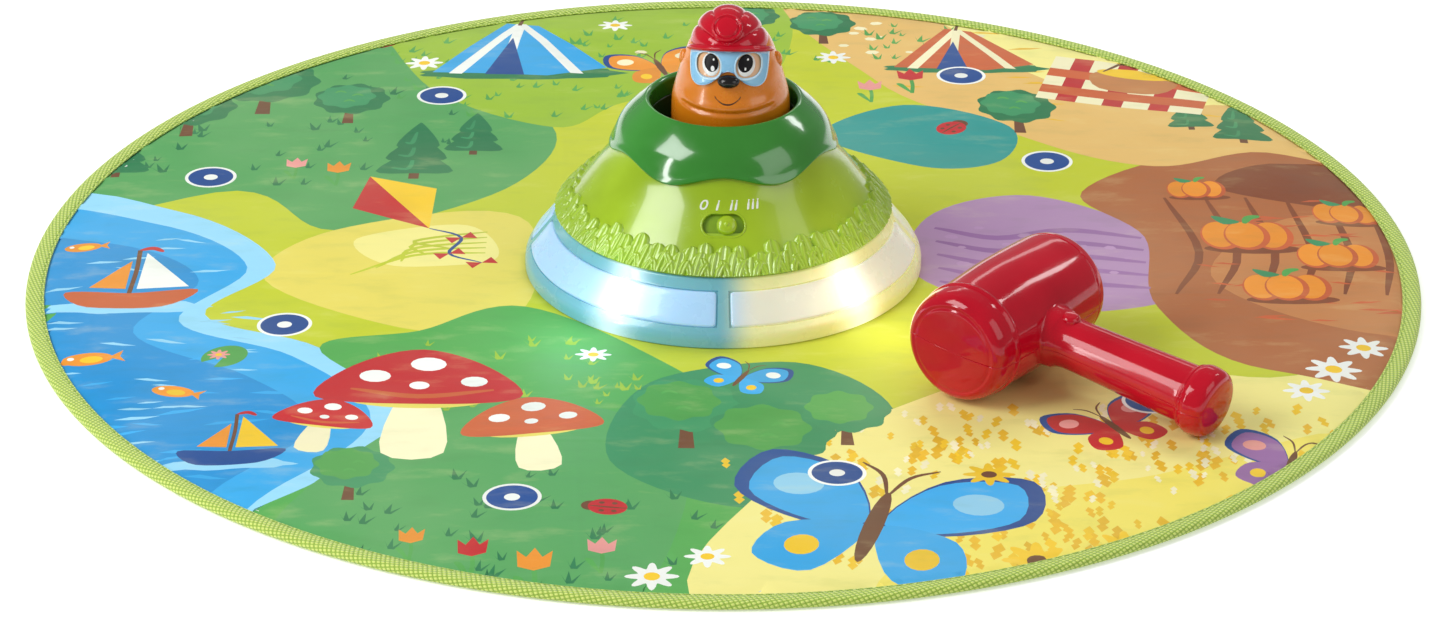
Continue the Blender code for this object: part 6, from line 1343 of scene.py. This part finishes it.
# %% Hat
def hat():
    """A dome with five rounded ridges from front to back, a brim, and a lamp disc with two rings."""
    seat = MOLE @ Matrix.Translation((0, 0, 0.1378)) @ spin(-23, "X")
    lean, back = np.linspace(-pi / 2, pi / 2, 181), np.linspace(0, pi, 73)[:, None]
    off = np.abs(np.degrees(lean))
    share = np.where(off < 24, off / 24, np.where(off < 57, (off - 40.5) / 16.5, (off - 75) / 18))
    ridge = 0.08 * np.clip(1 - np.abs(0.97 * share) ** 2.5, 0, 1) ** 0.5 - 0.04 - 0.04 * np.sin(2 * lean) ** 2
    scale = 1 + ridge * np.sin(back) ** 0.8
    x = 0.0234 * scale * np.sin(back) * np.sin(lean) * (1 - 0.06 * np.sin(lean) ** 4)
    z = 0.0236 * scale * np.sin(back) * np.cos(lean)
    roof = np.stack([x - 0.07 * z, -0.0258 * scale * np.cos(back), z], -1)
    under = roof[:, ::-1] * [0.92, 0.92, 0] + [0, 0, 0.001]
    brim = turn_outline(profile(5, (0.4, 0.7, 0.8, 0.8, 0.8, 0.4), 18, -1.5, 24, -1.7, 25, -0.2, 24, 1.3, 21.7, 2.2,
                                18, 3, closed=True), 160)
    brim[..., 1] *= np.where(brim[..., 1] < 0, 1.15, 1.04)
    brim[..., 2] -= 0.0009 * np.clip(-brim[..., 1] / 0.028, 0, 1) ** 2
    disc = profile(5, (0, 0.1, 0.5, 0.6, 0.2, 0.2, 0.8, 1, 0), 0, -4, 8.8, -4, 8.6, 0.4, 7.7, 1.1, 6.9, 0.4, 6.4, 0.4,
                   5.8, 1.4, 3, 1.8, 0, 1.9)
    up = radians(27)
    facing = Matrix.Translation((-0.0008, -0.0258 * 1.02 * cos(up), 0.0236 * 1.02 * sin(up))) @ spin(63, "X")
    return merged(
        "ridged_hat",
        surface("roof", moved(np.concatenate([roof, under], 1), seat)),
        surface("brim", moved(brim, seat), tube=True),
        spun("disc", disc, 72, matrix=seat @ facing),
    )


ready(hat(), "mole", "red_plastic", "mole_hat")

# %% [markdown]
# ## The mallet
# Two half-shells of glossy red plastic: a barrel head with a bead near one face, and a handle that flares at its end.
# The line where the shells meet is a fine groove in both surfaces.


# %% Mallet
def mallet_frame():
    """The head's centre on the mat: X along the handle, Y along the head, with the handle's end down."""
    turn, sine = radians(53.2), 0.0138 / 0.12825
    across = Vector((cos(turn), sin(turn), 0))
    handle = Vector((sin(turn), -cos(turn), 0)) * sqrt(1 - sine**2) - Vector((0, 0, sine))
    place = Matrix((handle, across, handle.cross(across))).transposed().to_4x4()
    place.translation = (MALLET_X, MALLET_Y, 0.0373)
    return place


MALLET = mallet_frame()
BARREL_RADIUS, GROOVE = 0.0328, 0.00028


def split_azimuths(steps, deep):
    """Azimuths round an axis, close together at the two parting lines, and how deep the groove is at each."""
    fine = np.array([-0.022, -0.011, -0.004, 0, 0.004, 0.011, 0.022])
    half = np.concatenate([fine, np.linspace(0.05, pi - 0.05, steps)])
    azimuth = np.concatenate([half, half + pi])
    near = np.abs((azimuth + pi / 2) % pi - pi / 2)
    return azimuth, deep * np.clip(1 - near / 0.013, 0, 1)


def mallet_head():
    """The barrel, from the near face to the far one, with rounded corners, crowned faces and the bead."""
    line = spline(mm(0, -56, 12, -55.7, 22.2, -54.5, 26.2, -53.8, 29.6, -51, 31.2, -47, 31.7, -42.5, 31.8, -39.8,
                     32.2, -38.8, 32.7, -37, 32.2, -35.2, 31.9, -34.2, 32.5, -18, 33, 0, 32.8, 18, 32.1, 36, 31.7, 42.5,
                     31.4, 44.8, 31.1, 47, 29.8, 51, 26.4, 53.8, 22.4, 54.5, 12, 55.7, 0, 56), 8)
    r, y = line[:, :1], line[:, 1:]
    y = y - np.sign(y) * hump(r, 0.0245, 0.0011) * (np.abs(y) > 0.05) * 0.0005
    r = r - 0.0004 * hump(y, 0.0448, 0.0006)
    azimuth, groove = split_azimuths(75, GROOVE)
    sink = groove * 1.4 * (np.abs(y) > 0.0535) * np.sign(y) * smooth_step(r, 0.002, 0.008)
    r = np.maximum(r - groove * (r > 0.02), 0)
    return surface("mallet_barrel", moved(polar(r, azimuth, y - sink)[..., [0, 2, 1]], MALLET))


def mallet_handle():
    """The handle: a fillet on the barrel, a waist, a slow flare and a round bead at its end."""
    azimuth, groove = split_azimuths(55, GROOVE * 0.9)
    fillet = np.linspace(0, 1, 8)[:, None]
    r = 0.0172 + 0.0022 * (1 - np.sqrt(1 - (1 - fillet) ** 2)) + 0 * azimuth
    x = np.sqrt(BARREL_RADIUS**2 - (r * np.sin(azimuth)) ** 2) - 0.0004 + 0.0022 * fillet
    line = spline(mm(16.6, 35.5, 15.6, 37.5, 14.7, 40.5, 14.3, 46, 14.6, 60, 15.5, 90, 16.3, 115, 16.6, 118.8))
    end = profile(5, (0, 0.4, 0.4, 0.3, 0.8, 1, 1.5, 2.2, 2.4, 3, 0), 16.6, 119.1, 17.8, 119.4, 18.3, 120.3, 18, 121.3,
                  19.1, 122.2, 19.7, 124.5, 19.5, 128.5, 18.7, 132.8, 16, 135.7, 8, 136.9, 0, 137)
    rest = np.vstack([line, end])
    r = np.vstack([0 * r[:1], 0.98 * r[:1], r, rest[:, :1] - groove * (rest[:, :1] > 0.001)])
    x = np.vstack([0 * x[:1] + 0.018, x[:1] - 0.004, x, rest[:, 1:] + 0 * azimuth])
    return surface("mallet_grip", moved(polar(r, azimuth, x)[..., [2, 0, 1]], MALLET))


for shell in (mallet_head(), mallet_handle()):
    ready(shell, "hammer", "red_plastic", "hammer_shell_upper", "hammer_shell_lower")
boss = profile(6, (0, 0.8, 0.9, 0.2, 0), 0, 2.7, 3.8, 2.5, 5.3, 1, 5.8, -3, 0, -3)
boss = spun("neck_boss", boss, 48, matrix=MALLET @ Matrix.Translation((0.0395, 0, 0.0143)))
ready(boss, "hammer", "red_plastic", slot="red_plastic")

# %% [markdown]
# ## The return spring
# A wire coil with closed ends lies under the plunger's flange, hidden in the well. It shortens as the mole goes down.
# It is one swept tube.

# %% Spring
SPRING_FOOT, SPRING_TOP, COIL_RADIUS, WIRE = 0.0523, 0.0837, 0.0112, 0.0007


def coil_spring():
    """A wire carried along a helix: the angle grows evenly, and the rise rests over the closed turn at each end."""
    turn = np.linspace(0, 7.5, 252)
    height = SPRING_FOOT + WIRE + (SPRING_TOP - SPRING_FOOT - 2 * WIRE) * np.clip((turn - 0.6) / 6.3, 0, 1)
    angle = 2 * pi * turn
    radial = polar(1, angle, 0)
    slope = np.gradient(height) / (COIL_RADIUS * np.gradient(angle))
    upward = np.stack([slope * np.sin(angle), -slope * np.cos(angle), 1 + 0 * angle], 1)
    upward /= np.linalg.norm(upward, axis=1, keepdims=True)
    centre = polar(COIL_RADIUS, angle, height) + [0.004, 0, 0]
    centre[0], centre[-1] = centre[1], centre[-2]
    thick = np.full((len(turn), 1, 1), WIRE)
    thick[[0, -1]] = 0
    side = around(10)[:, None]
    ring = radial[:, None] * np.cos(side) + upward[:, None] * np.sin(side)
    return surface("coil_spring", centre[:, None] + thick * ring)


coil = ready(coil_spring(), "console", "steel", "return_spring")
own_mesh(coil)

# %% [markdown]
# ## What lies inside
# The frame's other nodes keep their shapes and get the material of their slot.

# %% Carried-over nodes
hidden = 0
for part in frame["record"]["subparts"]:
    node = frame["nodes"][part["node"]]
    if node.hide_render:
        hidden += 1
        continue
    node.data.materials.clear()
    node.data.materials.append(materials[part["material_slot"]])
print(hidden, "nodes are replaced, and", len(frame["nodes"]) - hidden, "are carried over")
print("Pieces and their faces:", stands)
